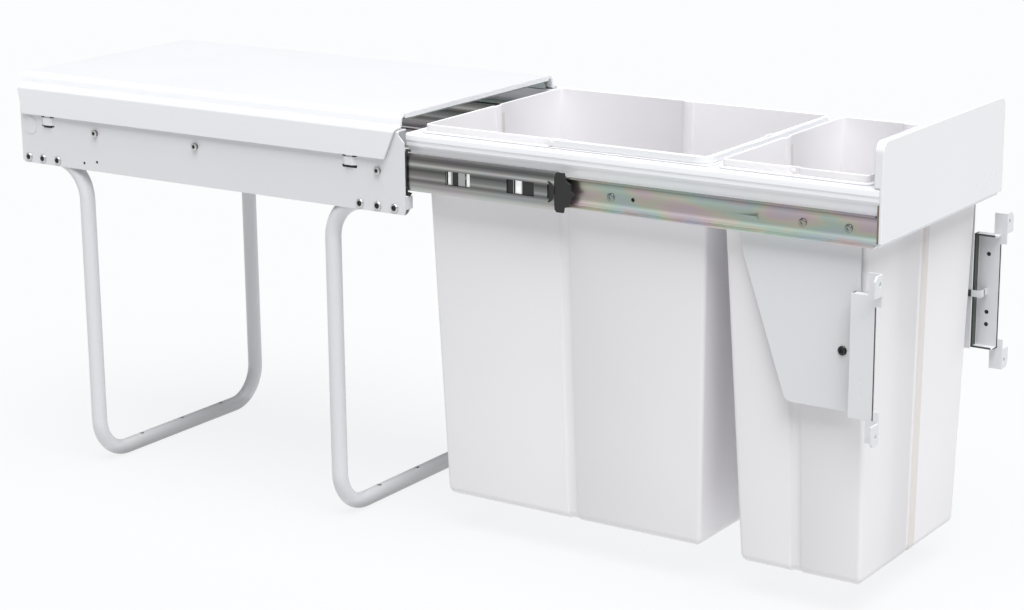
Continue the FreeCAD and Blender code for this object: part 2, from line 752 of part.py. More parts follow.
# ---------------------------------------------------------------- bin frame and panel
def bin_frame():
    """Moulded frame: two bays, hollow end walls and divider, stepped edge over the slides."""
    top, low = frame_top, frame_top - frame_depth
    w, r = frame_half, slide_in
    right = [V(r, 0, low), V(r, 0, top - 13.0), V(w - 2.0, 0, top - 13.0), V(w - 2.0, 0, top - 11.5),
             V(w - 1.0, 0, top - 11.5), V(w - 1.0, 0, top - 6.5), V(w, 0, top - 6.5), V(w, 0, top)]
    left = [V(-p.x, 0, p.z) for p in reversed(right)]
    radii = [1.0, 0, 0, 0, 0, 0, 0, 2.5]
    block = prism(right + left, radii + list(reversed(radii)), V(0, frame_length, 0))
    block.translate(V(0, panel_back, 0))
    for y0, y1 in ((small_bay_front, small_bay_rear), (large_bay_front, large_bay_rear)):
        bay = [V(-rail_in, y0, low - 1), V(rail_in, y0, low - 1), V(rail_in, y1, low - 1),
               V(-rail_in, y1, low - 1)]
        block = block.cut(prism(bay, bin_corner - 2, V(0, 0, frame_depth + 2)))
    skin = frame_skin
    hollows = ((panel_back + skin, small_bay_front - skin), (small_bay_rear + skin, large_bay_front - skin),
               (large_bay_rear + skin, frame_rear - skin))
    for y0, y1 in hollows:
        block = block.cut(box(-rail_in + 8, rail_in - 8, y0, y1, low - 1, top - skin))
    return block.cut(frame_holes() + bracket_pockets() + panel_pegs(0.2))


def frame_holes():
    """Screw holes through both side walls of the frame."""
    radius = screw_shank / 2 + screw_clearance
    tools = []
    for side in (-1, 1):
        for y in frame_screw_places:
            start = V(side * (rail_in - 3), y, slide_level)
            tools.append(flat_rod(radius, start, V(side * (slide_in + 1), y, slide_level)))
    return tools


def bracket_pockets():
    """Slots in the frame's front corners for the side brackets' front edges."""
    gap = bracket_clearance
    y0 = panel_back + bracket_front - gap
    y1 = small_bay_front + bin_corner
    pockets = []
    for side in (-1, 1):
        pockets.append(box(side * (rail_in - bracket_sheet - gap), side * rail_in, y0, y1,
                           frame_top - frame_depth - 1, bracket_top + gap))
    return pockets


def panel_pegs(gap):
    """Four pegs on the panel's back; with a gap, the slots that they snap into."""
    pegs = []
    for side in (-1, 1):
        for z in (slide_level, slide_level + 25):
            x = side * (frame_half - 40)
            pegs.append(box(x - 7 - gap, x + 7 + gap, panel_back - 1, panel_back + frame_skin + 1.5 + gap,
                            z - 2.5 - gap, z + 2.5 + gap))
    return pegs


def front_panel():
    """Front panel with rounded upper corners, a lip along its free edge and bosses for its screws."""
    w = frame_half
    top = panel_bottom + panel_height
    outline = [V(-w, panel_face, panel_bottom), V(w, panel_face, panel_bottom), V(w, panel_face, top),
               V(-w, panel_face, top)]
    radii = [2.0, 2.0, panel_corner, panel_corner]
    panel = prism(outline, radii, V(0, panel_thickness, 0))
    lip = prism([p + V(0, panel_thickness, 0) for p in outline], radii, V(0, panel_lip, 0))
    wall = 2.2
    inner = [V(-w + wall, panel_back, panel_bottom - 9), V(w - wall, panel_back, panel_bottom - 9),
             V(w - wall, panel_back, top - wall), V(-w + wall, panel_back, top - wall)]
    lip = lip.cut(prism(inner, [1, 1, panel_corner - wall, panel_corner - wall], V(0, panel_lip + 1, 0)))
    lip = lip.cut(box(-w - 1, w + 1, panel_back, panel_back + panel_lip + 1, 0, frame_top + 0.4))
    return panel.fuse([lip] + panel_pegs(0))


def frame_screws(side):
    """Screws through the inner slide section into the frame."""
    seat = slide_in + slide_steel
    reach = slide_steel + frame_rail + bracket_sheet + 0.4
    return Part.makeCompound([screw(V(side * seat, y, slide_level), -side, reach, frame_screw_head)
                              for y in frame_screw_places])


# ---------------------------------------------------------------- bins
def bin_section(x, y0, y1, z, corner, notch):
    """Closed outline of a bin at one height: rounded corners and a groove in the middle of each side."""
    ym = (y0 + y1) / 2
    g, d = groove_width / 2, notch
    points = [V(-x, y0, z), V(-g, y0, z), V(-g + 2, y0 + d, z), V(g - 2, y0 + d, z), V(g, y0, z), V(x, y0, z),
              V(x, ym - g, z), V(x - d, ym - g + 2, z), V(x - d, ym + g - 2, z), V(x, ym + g, z), V(x, y1, z),
              V(g, y1, z), V(g - 2, y1 - d, z), V(-g + 2, y1 - d, z), V(-g, y1, z), V(-x, y1, z),
              V(-x, ym + g, z), V(-x + d, ym + g - 2, z), V(-x + d, ym - g + 2, z), V(-x, ym - g, z)]
    radii = [corner if i % 5 == 0 else 0 for i in range(20)]
    return rounded(points, radii, True)


def tapered(wires):
    """A solid through outlines that have the same edges in the same order, straight between them."""
    faces = [Part.Face(wires[0]), Part.Face(wires[-1])]
    for lower, upper in zip(wires, wires[1:]):
        for a, b in zip(lower.Edges, upper.Edges):
            a0, a1 = a.valueAt(a.FirstParameter), a.valueAt(a.LastParameter)
            b0, b1 = b.valueAt(b.FirstParameter), b.valueAt(b.LastParameter)
            if "Line" in a.Curve.TypeId:
                faces.append(Part.Face(Part.makePolygon([a0, a1, b1, b0, a0])))
            else:
                faces.append(a.extrude(b0 - a0))
    shell = Part.makeShell(faces)
    shell.sewShape()
    solid = Part.Solid(shell)
    if solid.Volume < 0:
        solid.reverse()
    return solid


def bin_body(y0, y1, bottom, front_taper, rear_taper, inset, floor):
    """A tapered closed form: the bin's outside, or with an inset its inside."""
    height = bin_rim_top - bottom
    sections = []
    for z, tuck in ((bottom, bin_foot), (bottom + bin_foot, 0.0), (bin_rim_top, 0.0)):
        share = (bin_rim_top - z) / height
        x = bin_half - (bin_half - bin_bottom_width / 2) * share - tuck - inset
        a = y0 + front_taper * share + tuck + inset
        b = y1 - rear_taper * share - tuck - inset
        sections.append(bin_section(x, a, b, z + floor, bin_corner - inset, groove_depth))
    return tapered(sections)


def waste_bin(y0, y1, bottom, front_taper, rear_taper):
    """A bin: thin tapered walls with grooves, a floor, and a flange that hangs in the frame."""
    outside = bin_body(y0, y1, bottom, front_taper, rear_taper, 0.0, 0.0)
    inside = bin_body(y0, y1, bottom, front_taper, rear_taper, bin_wall, bin_wall)
    shell = outside.cut(inside)
    x, a, b, cut = bin_half + bin_flange, y0 - bin_flange, y1 + bin_flange, bin_corner / 2
    ring = [V(-x + cut, a, 0), V(x - cut, a, 0), V(x, a + cut, 0), V(x, b - cut, 0), V(x - cut, b, 0),
            V(-x + cut, b, 0), V(-x, b - cut, 0), V(-x, a + cut, 0)]
    flange = prism(ring, 0, V(0, 0, bin_flange_thickness))
    flange.translate(V(0, 0, frame_top + bin_seat_gap))
    core = bin_body(y0, y1, bottom, front_taper, rear_taper, bin_wall / 2, 0.0)
    return shell.fuse(flange.cut(core))


def large_bin_ends():
    """Front and rear y of the large bin at its rim."""
    return large_bay_front + bin_end_gap, large_bay_rear - bin_end_gap


def small_bin_ends():
    """Front and rear y of the small bin at its rim."""
    return small_bay_front + bin_end_gap, small_bay_rear - bin_end_gap


def handle_pivot():
    """Centre of the handle's pivots, for x = 0."""
    y = sum(large_bin_ends()) / 2 + groove_width / 2 + handle_pivot_step
    return V(0, y, frame_top + bin_seat_gap + bin_flange_thickness + 0.3 + handle_height / 2)


def pivot_bosses(centre, inset, reach, head):
    """Moulded pins on both sides of a bin, with a wider head outside."""
    bosses = []
    for side in (-1, 1):
        start = centre + V(side * (bin_half - inset), 0, 0)
        neck = centre + V(side * (bin_half + reach), 0, 0)
        bosses.append(flat_rod(pivot_pin / 2, start, neck, 12))
        if head:
            bosses.append(flat_rod(head / 2, neck, neck + V(side * 0.8, 0, 0), 12))
    return bosses


def large_bin():
    """The large bin with the pins that its handle turns on."""
    y0, y1 = large_bin_ends()
    body = waste_bin(y0, y1, large_bin_bottom, large_bin_front_taper, large_bin_rear_taper)
    reach = handle_gap + handle_thickness + 0.2
    return body.fuse(pivot_bosses(handle_pivot(), bin_wall / 2, reach, 5.2))


def small_bin():
    """The small bin, with two short lifting pegs under its rim."""
    y0, y1 = small_bin_ends()
    body = waste_bin(y0, y1, small_bin_bottom, small_bin_front_taper, small_bin_rear_taper)
    centre = V(0, (y0 + y1) / 2, handle_pivot().z)
    return body.fuse(pivot_bosses(centre, bin_wall / 2 + groove_depth, 2.6, 0))


def bin_handle():
    """Bail handle of the large bin: flat arms, round corners, an eye at each end."""
    y0 = large_bin_ends()[0]
    pivot = handle_pivot()
    x = bin_half + handle_gap + handle_thickness / 2
    y = y0 - handle_gap - handle_thickness / 2
    low = pivot.z - handle_height / 2
    path = rounded([V(-x, pivot.y, low), V(-x, y, low), V(x, y, low), V(x, pivot.y, low)], 15.0)
    bail = strip(path, handle_thickness, V(0, 0, handle_height))
    grip = prism([V(-45, y - 3.0, low), V(45, y - 3.0, low), V(45, y, low), V(-45, y, low)], 0,
                 V(0, 0, handle_height))
    bail = bail.fuse(grip)
    eyes = []
    for side in (-1, 1):
        inner = pivot + V(side * (x - handle_thickness / 2), 0, 0)
        outer = pivot + V(side * (x + handle_thickness / 2), 0, 0)
        eyes.append(flat_rod(handle_height / 2 / math.cos(math.pi / 12), inner, outer, 12))
    bail = bail.fuse(eyes)
    bore = pivot_pin / 2 + pivot_clearance
    return bail.cut(flat_rod(bore, pivot - V(x + 9, 0, 0), pivot + V(x + 9, 0, 0), 12))


# ---------------------------------------------------------------- side and door brackets
def side_bracket():
    """White plate that hangs from the frame beside the small bin and carries the door bracket."""
    x = -rail_in
    y = panel_back
    outline = [V(x, y + bracket_front, bracket_bottom), V(x, y + bracket_front, bracket_top),
               V(x, y + bracket_rear + 6, bracket_top), V(x, y + bracket_rear, bracket_shoulder),
               V(x, y + bracket_foot, bracket_bottom)]
    plate = prism(outline, [6, 0, 0, 8, 8], V(bracket_sheet, 0, 0))
    radius = screw_shank / 2 + screw_clearance
    tools = [flat_rod(radius, V(x - 1, place, slide_level), V(x + 3, place, slide_level))
             for place in frame_screw_places]
    clamp = clamp_place()
    tools.append(flat_rod(radius, V(x - 1, clamp.y, clamp.z), V(x + 3, clamp.y, clamp.z)))
    return plate.cut(tools)


def clamp_place():
    """Where the clamp screw enters the left side bracket's outer face."""
    return V(-rail_in, panel_back + clamp_back, clamp_level)


def door_bracket():
    """Plated channel that the cabinet door is screwed to, with ears and an adjusting arm."""
    t = door_sheet
    web = -rail_in - door_bracket_out
    low, high = door_bracket_bottom, door_bracket_bottom + door_bracket_height
    y1 = panel_back + door_bracket_rear
    y0 = y1 - door_bracket_depth
    pan = box(web - t, web + door_bracket_lip, y0, y1, low, high)
    pan = pan.cut(box(web, web + door_bracket_lip + 1, y0 - 1, y1 - t, low + t, high - t))
    middle = y0 + door_bracket_depth / 2
    holes = [flat_rod(spare_hole / 2, V(web - t - 1, middle, z), V(web + 1, middle, z), 8)
             for z in (low + 22, low + 34, high - 20)]
    bracket = pan.cut(holes)
    face = panel_face - door_face_ahead
    for edge, up in ((high, 1), (low, -1)):
        neck = box(web - t, web, face, y0 + 7, edge - up * 9, edge + up * door_ear_height)
        tip, corner = edge + up * door_ear_height, edge + up * (door_ear_height - 4)
        root = edge + up * 1.0
        ear = [V(web - door_ear_width, face, root), V(web, face, root), V(web, face, tip),
               V(web - door_ear_width + 4, face, tip), V(web - door_ear_width, face, corner)]
        hole = ear_hole(edge, up)
        bracket = bracket.fuse([neck, prism(ear, 0, V(0, t, 0))])
        bracket = bracket.cut(rod(door_screw_hole / 2, hole - V(0, 3, 0), hole + V(0, 3, 0)))
    return bracket.fuse(clamp_arm(web))


def clamp_arm(web):
    """Arm from the web round the side bracket's front edge, and the slotted pad on its inner face."""
    t = door_sheet
    clamp = clamp_place()
    low, high = clamp.z - clamp_arm_height / 2, clamp.z + clamp_arm_height / 2
    pad_x = -rail_in + bracket_sheet
    y1 = panel_back + bracket_front - clamp_arm_gap
    arm = box(web - t / 2, pad_x + t, y1 - t, y1, low, high)
    end = clamp.y + 12
    pad = box(pad_x, pad_x + t, y1 - t, end, low, high)
    slot_r = screw_shank / 2 + 0.5
    adjust = box(pad_x - 1, pad_x + t + 1, clamp.y - slot_r, clamp.y + slot_r, clamp.z - 8, clamp.z + 8)
    return arm.fuse(pad).cut(adjust)


def ear_hole(edge, up):
    """Centre of a door screw hole in a left ear, on the side that meets the door."""
    x = -rail_in - door_bracket_out - door_ear_width / 2 + 2.0
    return V(x, panel_face - door_face_ahead, edge + up * (door_ear_height - 8))


def clamp_screws():
    """Dark screws that hold the door brackets' pads to the side brackets."""
    place = clamp_place()
    reach = bracket_sheet + door_sheet + 1.0
    screws = [screw(V(side * rail_in, place.y, place.z), -side, reach, clamp_head) for side in (-1, 1)]
    return Part.makeCompound(screws)


# ---------------------------------------------------------------- build
def main():
    """Builds every piece and writes it to its own file."""
    os.makedirs("parts", exist_ok=True)
    save_pair("side_plate", side_plate())
    save("top_lid", top_lid())
    save("front_cross_rail", cross_rail_front())
    save("rear_cross_rail", cross_rail_rear())
    save("front_leg", leg(-1))
    save("rear_leg", leg(1))
    save("front_leg_screws", leg_screws(-1))
    save("rear_leg_screws", leg_screws(1))
    save_pair("outer_slide", outer_slide())
    save_pair("middle_slide", middle_slide())
    save_pair("inner_slide", inner_slide())
    save_pair("outer_end_cap", outer_end_cap())
    save_pair("middle_buffer", middle_buffer())
    save_pair("stop_blocks", stop_blocks())
    save_pair("outer_cage", cage(outer_cage_line(), outer_cage_length, outer_cage_front, outer_ball_at,
                                 outer_ball))
    save_pair("inner_cage", cage(inner_cage_line(), inner_cage_length, inner_cage_front, inner_ball_at,
                                 inner_ball, stop_block_places))
    save_pair("outer_balls", balls(outer_cage_length, outer_cage_front, outer_ball_at, outer_ball))
    save_pair("inner_balls", balls(inner_cage_length, inner_cage_front, inner_ball_at, inner_ball))
    save("bin_frame", bin_frame())
    save("front_panel", front_panel())
    save("left_frame_screws", frame_screws(-1))
    save("right_frame_screws", frame_screws(1))
    save("large_bin", large_bin())
    save("small_bin", small_bin())
    save("large_bin_handle", bin_handle())
    save_pair("side_bracket", side_bracket())
    save_pair("door_bracket", door_bracket())
    save("clamp_screws", clamp_screws())


main()
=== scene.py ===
"""Looks of a pull-out twin waste bin unit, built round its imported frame.

Metres, in the frame's own axes: -Y is the front, the way the bins pull out, and +Z is up.
Every solid of the frame gets a finish. Most solids are dressed: a merged copy with softened edges
stands for them. The bins, bent tubes, screws, rivets and balls are surfaces worked out with numpy.
"""

import json
import logging
import math
from dataclasses import dataclass
from enum import Enum
from functools import cache
from typing import Callable, Sequence

import bmesh
import bpy
import numpy as np
from mathutils import Matrix, Vector

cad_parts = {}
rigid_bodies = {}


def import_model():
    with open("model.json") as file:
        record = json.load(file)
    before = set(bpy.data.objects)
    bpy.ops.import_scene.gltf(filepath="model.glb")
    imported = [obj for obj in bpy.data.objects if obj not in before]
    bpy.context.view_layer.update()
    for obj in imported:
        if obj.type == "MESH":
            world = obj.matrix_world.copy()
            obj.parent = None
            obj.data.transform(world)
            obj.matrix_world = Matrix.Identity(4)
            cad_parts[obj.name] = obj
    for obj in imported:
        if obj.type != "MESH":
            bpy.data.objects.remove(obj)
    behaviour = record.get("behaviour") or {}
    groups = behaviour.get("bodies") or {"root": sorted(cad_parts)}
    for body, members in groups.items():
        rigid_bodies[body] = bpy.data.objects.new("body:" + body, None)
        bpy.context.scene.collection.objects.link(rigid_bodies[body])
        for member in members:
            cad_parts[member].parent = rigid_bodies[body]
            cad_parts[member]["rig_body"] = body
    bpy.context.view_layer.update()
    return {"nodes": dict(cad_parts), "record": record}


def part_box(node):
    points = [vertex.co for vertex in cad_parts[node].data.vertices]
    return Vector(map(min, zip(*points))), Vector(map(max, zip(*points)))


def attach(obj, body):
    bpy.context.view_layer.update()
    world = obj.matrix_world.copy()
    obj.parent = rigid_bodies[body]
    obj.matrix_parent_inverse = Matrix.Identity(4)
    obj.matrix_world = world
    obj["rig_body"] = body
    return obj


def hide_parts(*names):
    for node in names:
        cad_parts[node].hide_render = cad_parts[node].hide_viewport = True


log = logging.getLogger("waste_bin_unit")

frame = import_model()

MM = 0.001
AXIS = 1e-5  # radius, in metres, at which the profile of a screw or rivet ends on its axis
TIP = 1e-6  # the same for a pin, plug or drill
DOUBLES = 1e-6  # distance, in metres, under which a solid's corners are one
WELD = 1e-7  # distance, in metres, under which points of a numpy surface are one
EMPTY = 1e-8  # length, in metres, under which an edge is none
FLAT = 0.4  # degrees between faces under which they are one flat face
CORNER = 40.0  # degrees above which an edge of a numpy surface stays sharp
SMALL = 24  # points round a small turned piece
ARC = 7  # points along a small arc

Pair = tuple[float, float]
Pairs = tuple[Pair, ...]
Triple = tuple[float, float, float]
Colour = tuple[float, float, float, float]
Piece = bpy.types.Object
Socket = bpy.types.NodeSocket
WHITE: Colour = (1.0, 1.0, 1.0, 1.0)
BLUE = 1.04  # blue of the whites, as a multiple of their red


def mm(*sizes: float) -> tuple[float, ...]:
    """Millimetres as metres."""
    return tuple(size * MM for size in sizes)


class Side(Enum):
    """Left or right as seen from the front; the value is the sign of X."""

    LEFT = -1
    RIGHT = 1

    @property
    def word(self) -> str:
        """The side's name as it stands in node names."""
        return self.name.lower()


# ------------------------------------------------------------------ shader helpers
def arithmetic(operation: str, reflected: bool = False) -> Callable[["Value", object], "Value"]:
    """One of Python's operators, as a Math node; the reflected one has the Value second."""

    def apply(value: "Value", other: object) -> "Value":
        """Adds the node."""
        pair = (other, value) if reflected else (value, other)
        return value._math(operation, *pair)

    return apply


class Value:
    """A socket that carries a number. Python's operators on it add Math nodes."""

    def __init__(self, tree: bpy.types.NodeTree, socket: Socket) -> None:
        """Keeps the tree and the socket."""
        self.tree = tree
        self.socket = socket

    def _math(self, operation: str, first: object, second: object = None) -> "Value":
        """Adds one Math node.

        Args:
            operation: Blender's name of the operation.
            first: number or Value.
            second: number, Value or nothing.

        Returns:
            The node's result.
        """
        node = self.tree.nodes.new("ShaderNodeMath")
        node.operation = operation
        for index, item in enumerate((first, second)):
            if isinstance(item, Value):
                self.tree.links.new(item.socket, node.inputs[index])
            elif item is not None:
                node.inputs[index].default_value = item
        return Value(self.tree, node.outputs[0])

    __add__, __radd__ = arithmetic("ADD"), arithmetic("ADD", reflected=True)
    __sub__, __rsub__ = arithmetic("SUBTRACT"), arithmetic("SUBTRACT", reflected=True)
    __mul__, __rmul__ = arithmetic("MULTIPLY"), arithmetic("MULTIPLY", reflected=True)

    def between(self, low: float, high: float) -> "Value":
        """The value spread from low to high, for a value that runs from 0 to 1."""
        return self * (high - low) + low

    def share(self, low: float, high: float) -> "Value":
        """Where the value lies between low, 0, and high, 1."""
        return (self - low) * (1.0 / (high - low))

    def size(self) -> "Value":
        """The value without its sign."""
        return self._math("ABSOLUTE", self)

    def capped(self) -> "Value":
        """The value, but at most 1."""
        return self._math("MINIMUM", self, 1.0)

    def inside(self, low: float, high: float) -> "Value":
        """1 where the value lies between low and high, and 0 elsewhere."""
        return self._math("GREATER_THAN", self, low) * self._math("LESS_THAN", self, high)


class Paint:
    """Builds one material's node tree."""

    def __init__(self, name: str) -> None:
        """Makes an empty material with this name."""
        self.material = bpy.data.materials.new(name)
        self.material.use_nodes = True
        self.tree = self.material.node_tree
        self.tree.nodes.clear()

    def node(self, kind: str, inputs: dict, **settings: object) -> bpy.types.Node:
        """Adds any node.

        Args:
            kind: Blender's type name of the node, after ShaderNode.
            inputs: socket name or index to a number, colour, socket or Value.
            settings: attributes set first; stops is a ramp's list of (place, colour).

        Returns:
            The node.
        """
        made = self.tree.nodes.new("ShaderNode" + kind)
        for key, setting in settings.items():
            if key == "stops":
                self._stops(made.color_ramp, setting)
            else:
                setattr(made, key, setting)
        for key, item in inputs.items():
            socket = made.inputs[key]
            if isinstance(item, Value):
                self.tree.links.new(item.socket, socket)
            elif isinstance(item, Socket):
                self.tree.links.new(item, socket)
            else:
                socket.default_value = item
        return made

    @staticmethod
    def _stops(ramp: bpy.types.ColorRamp, stops: Sequence[tuple]) -> None:
        """Sets a ramp's places and colours."""
        while len(ramp.elements) > 1:
            ramp.elements.remove(ramp.elements[0])
        ramp.elements[0].position, ramp.elements[0].color = stops[0]
        for place, colour in stops[1:]:
            ramp.elements.new(place).color = colour

    def noise(self, scale: float, stretch: tuple = (1.0, 1.0, 1.0), detail: float = 2.0) -> Value:
        """Soft noise in Object coordinates.

        Args:
            scale: features per metre.
            stretch: how much finer the noise is along X, Y and Z.
            detail: octaves.

        Returns:
            The noise, from 0 to 1.
        """
        place = self.node("TexCoord", {}).outputs["Object"]
        mapped = self.node("Mapping", {"Vector": place, "Scale": stretch}).outputs[0]
        inputs = {"Vector": mapped, "Scale": scale, "Detail": detail, "Roughness": 0.5}
        return Value(self.tree, self.node("TexNoise", inputs).outputs[0])

    def place(self) -> tuple[Value, Value, Value]:
        """X, Y and Z of the shaded point in metres, in Object coordinates."""
        parts = self.node("SeparateXYZ", {0: self.node("TexCoord", {}).outputs["Object"]})
        return tuple(Value(self.tree, output) for output in parts.outputs)

    def mix(self, share: object, first: object, second: object, blend: str = "MIX") -> Socket:
        """A colour between two colours or colour sockets, or their product for MULTIPLY."""
        inputs = {0: share, 6: first, 7: second}
        return self.node("Mix", inputs, data_type="RGBA", blend_type=blend).outputs[2]

    def ramp(self, share: Value, stops: Sequence[tuple]) -> Socket:
        """A colour read from a list of (place, colour)."""
        return self.node("ValToRGB", {0: share}, stops=stops).outputs[0]

    def bump(self, height: Value, distance: float, strength: float) -> Socket:
        """A normal roughened by a height."""
        return self.node("Bump", {"Strength": strength, "Distance": distance, "Height": height}).outputs[0]

    def surface(self, inputs: dict) -> bpy.types.Material:
        """Ends the tree with the surface shader and returns the material."""
        self.node("OutputMaterial", {"Surface": self.node("BsdfPrincipled", inputs).outputs[0]})
        return self.material


def grey(level: float, blue: float = 1.0) -> Colour:
    """A neutral colour, a little bluer for blue above 1."""
    return (level, level * (1 + (blue - 1) * 0.35), level * blue, 1.0)


@dataclass(frozen=True)
class Look:
    """What every finish has: the material's name and the record's slot it belongs to."""

    name: str
    slot: str

    @cache
    def material(self) -> bpy.types.Material:
        """Makes the material, once."""
        paint = Paint(self.name)
        return paint.surface(self.inputs(paint))


@dataclass(frozen=True)
class Finish(Look):
    """A painted, moulded or plated surface.

    The colour drifts a little towards a second one, the gloss varies and a fine grain roughens it.
    glow is painted light: an even glow that brightens plastic where it lies in shade. foot is (lowest
    height, height from which the colour is whole, level at the lowest height) of painted shade that
    darkens a piece towards the floor. middle is (least x, greatest x, tint) of a band of painted shade
    along the groove of the front and rear walls, which ends at the height middle_top.
    """

    colour: Colour
    drift: Colour
    gloss: Pair
    metal: float = 0.0
    coat: float = 0.0
    grain_per_metre: float = 900.0
    grain_depth: float = 0.00001
    cloud_per_metre: float = 9.0
    grain_strength: float = 0.5
    coat_roughness: float = 0.12
    glow: float = 0.0
    foot: Triple | None = None
    middle: tuple[float, float, Colour] | None = None
    middle_top: float = 0.4

    def inputs(self, paint: Paint) -> dict:
        """The surface shader's inputs."""
        cloud = paint.noise(self.cloud_per_metre)
        grain = paint.noise(self.grain_per_metre)
        colour = paint.mix(cloud, self.colour, self.drift)
        # painted shade: the colour darkens towards the floor, as a contact shadow
        if self.foot:
            low, high, level = self.foot
            shade = paint.ramp(paint.place()[2].share(low, high), [(0.0, grey(level)), (1.0, WHITE)])
            colour = paint.mix(1.0, colour, shade, "MULTIPLY")
        # painted shade: a darker band on the shaded slope of the front and rear grooves
        if self.middle:
            x, _, z = paint.place()
            low, high, tint = self.middle
            colour = paint.mix(x.inside(low, high) * z.inside(0.0, self.middle_top), colour, tint)
        return {
            "Base Color": colour,
            # painted light: the glow is an even emission that brightens parts in shade, not a lamp
            "Emission Color": self.colour,
            "Emission Strength": self.glow,
            "Roughness": cloud.between(*self.gloss),
            "Metallic": self.metal,
            "Coat Weight": self.coat,
            "Coat Roughness": self.coat_roughness,
            "Normal": paint.bump(grain, self.grain_depth, self.grain_strength),
        }


@dataclass(frozen=True)
class Bands:
    """Painted reflections and painted shade: darker and lighter bands up a rolled strip, where its tracks
    would mirror the room and fall into shade.

    Each band is a (share of the strip's height, level) pair, from its lower edge, low, to its
    upper edge, high, both in metres.
    """

    low: float
    high: float
    levels: Pairs

    def stops(self) -> list[tuple[float, Colour]]:
        """The bands as a ramp's stops."""
        return [(share, (level, level, level, 1.0)) for share, level in self.levels]


RAINBOW = (
    (0.30, (0.90, 0.94, 1.08, 1.0)),
    (0.40, (1.14, 0.90, 0.96, 1.0)),
    (0.47, (1.08, 1.04, 0.84, 1.0)),
    (0.54, (0.84, 1.08, 0.92, 1.0)),
    (0.62, (0.86, 1.00, 1.06, 1.0)),
    (0.70, (1.12, 0.92, 0.90, 1.0)),
)


@dataclass(frozen=True)
class ZincFinish(Look):
    """Zinc plate passivated to a faint rainbow: tints drift along the strip over bright steel."""

    tint: float
    level: float
    gloss: Pair = (0.24, 0.42)
    metal: float = 0.88
    bands: Bands | None = None
    tints_per_metre: float = 15.0
    tint_stretch: Triple = (1.0, 0.8, 2.4)
    scratches_per_metre: float = 260.0
    scratch_stretch: Triple = (1.0, 0.04, 1.0)
    scratch_depth: float = 0.00002
    scratch_strength: float = 0.35
    octaves: float = 3.0

    def inputs(self, paint: Paint) -> dict:
        """The surface shader's inputs."""
        tints = paint.ramp(paint.noise(self.tints_per_metre, self.tint_stretch, self.octaves), RAINBOW)
        # painted reflections and painted shade: bands of level up the strip instead of one even level
        if self.bands:
            height = paint.place()[2].share(self.bands.low, self.bands.high)
            steel = paint.ramp(height, self.bands.stops())
        else:
            steel = (self.level, self.level, self.level * 1.02, 1.0)
        tinted = paint.mix(self.tint, WHITE, tints)
        scratch = paint.noise(self.scratches_per_metre, self.scratch_stretch, self.octaves)
        return {
            "Base Color": paint.mix(1.0, steel, tinted, "MULTIPLY"),
            "Roughness": scratch.between(*self.gloss),
            "Metallic": self.metal,
            "Normal": paint.bump(scratch, self.scratch_depth, self.scratch_strength),
        }


@dataclass(frozen=True)
class BracketFinish(Look):
    """White zinc; the rear lip and arm are painted shade, and the cut edges are dark, partly as painted
    shade.
    """

    colour: Colour
    edge: Colour
    lip_at: Pair = (0.1250, 0.1268)
    lip_from: float = -0.7400
    rear_lip_at: Pair = (-0.7215, -0.6900)
    rear_lip_reach: float = 0.1332
    front_at: Pair = (-0.7432, -0.7421)
    front_height: Pair = (0.2005, 0.3005)
    gloss: Pair = (0.30, 0.42)
    metal: float = 0.15
    grain_per_metre: float = 500.0
    grain_stretch: Triple = (1.0, 1.0, 0.1)
    grain_depth: float = 0.00002
    grain_strength: float = 0.3

    def inputs(self, paint: Paint) -> dict:
        """The surface shader's inputs; the dark edges and the painted shade are found by their place."""
        x, y, z = paint.place()
        # painted shade on the rear lip and arm; the lips' and web's cut edges are dark, partly as painted
        # shade
        lips = x.size().inside(*self.lip_at) * y.inside(self.lip_from, 0.0)
        rear = y.inside(*self.rear_lip_at) * x.size().inside(0.0, self.rear_lip_reach)
        front = y.inside(*self.front_at) * z.inside(*self.front_height)
        grain = paint.noise(self.grain_per_metre, self.grain_stretch)
        return {
            "Base Color": paint.mix((lips + rear + front).capped(), self.colour, self.edge),
            "Roughness": grain.between(*self.gloss),
            "Metallic": self.metal,
            "Normal": paint.bump(grain, self.grain_depth, self.grain_strength),
        }


# Painted reflections and painted shade up the middle and inner sections' strips.
MIDDLE_LIGHT_BANDS = Bands(0.3448, 0.3822, (
    (0.0, 0.55), (0.10, 0.48), (0.20, 0.30), (0.25, 0.33), (0.33, 0.14), (0.37, 0.16), (0.42, 0.33),
    (0.475, 0.21), (0.55, 0.15), (0.62, 0.08), (0.68, 0.16), (0.75, 0.50), (0.80, 0.26), (0.875, 0.13),
    (0.95, 0.20), (1.0, 0.40)))
INNER_LIGHT_BANDS = Bands(0.3505, 0.3765, (
    (0.0, 0.85), (0.05, 0.70), (0.10, 0.50), (0.20, 0.60), (0.30, 0.38), (0.45, 0.37), (0.60, 0.39),
    (0.76, 0.46), (0.86, 0.36), (0.92, 0.22), (1.0, 0.30)))

POWDER = Finish("white_powder_coat", "white_powder_coat", grey(0.69, BLUE), grey(0.67, BLUE), (0.30, 0.38),
                coat=0.15, grain_per_metre=1400, grain_depth=0.00002)
# Painted shade: the tubes darken towards the floor, as their contact shadow.
TUBE = Finish("tube_powder_coat", "grey_white_powder_coat", grey(0.67, BLUE), grey(0.64, BLUE),
              (0.28, 0.36), coat=0.15, grain_per_metre=1400, grain_depth=0.00002, foot=(0.0, 0.015, 0.32))
PLASTIC = Finish("white_plastic", "white_plastic", grey(0.77, BLUE), grey(0.75, BLUE), (0.22, 0.30), coat=0.2)
# Painted light: the rail glows so its wall stays bright where it lies in shade.
RAIL = Finish("rail_plastic", "white_plastic", grey(0.76, BLUE), grey(0.74, BLUE), (0.24, 0.32), coat=0.2,
              glow=0.16)
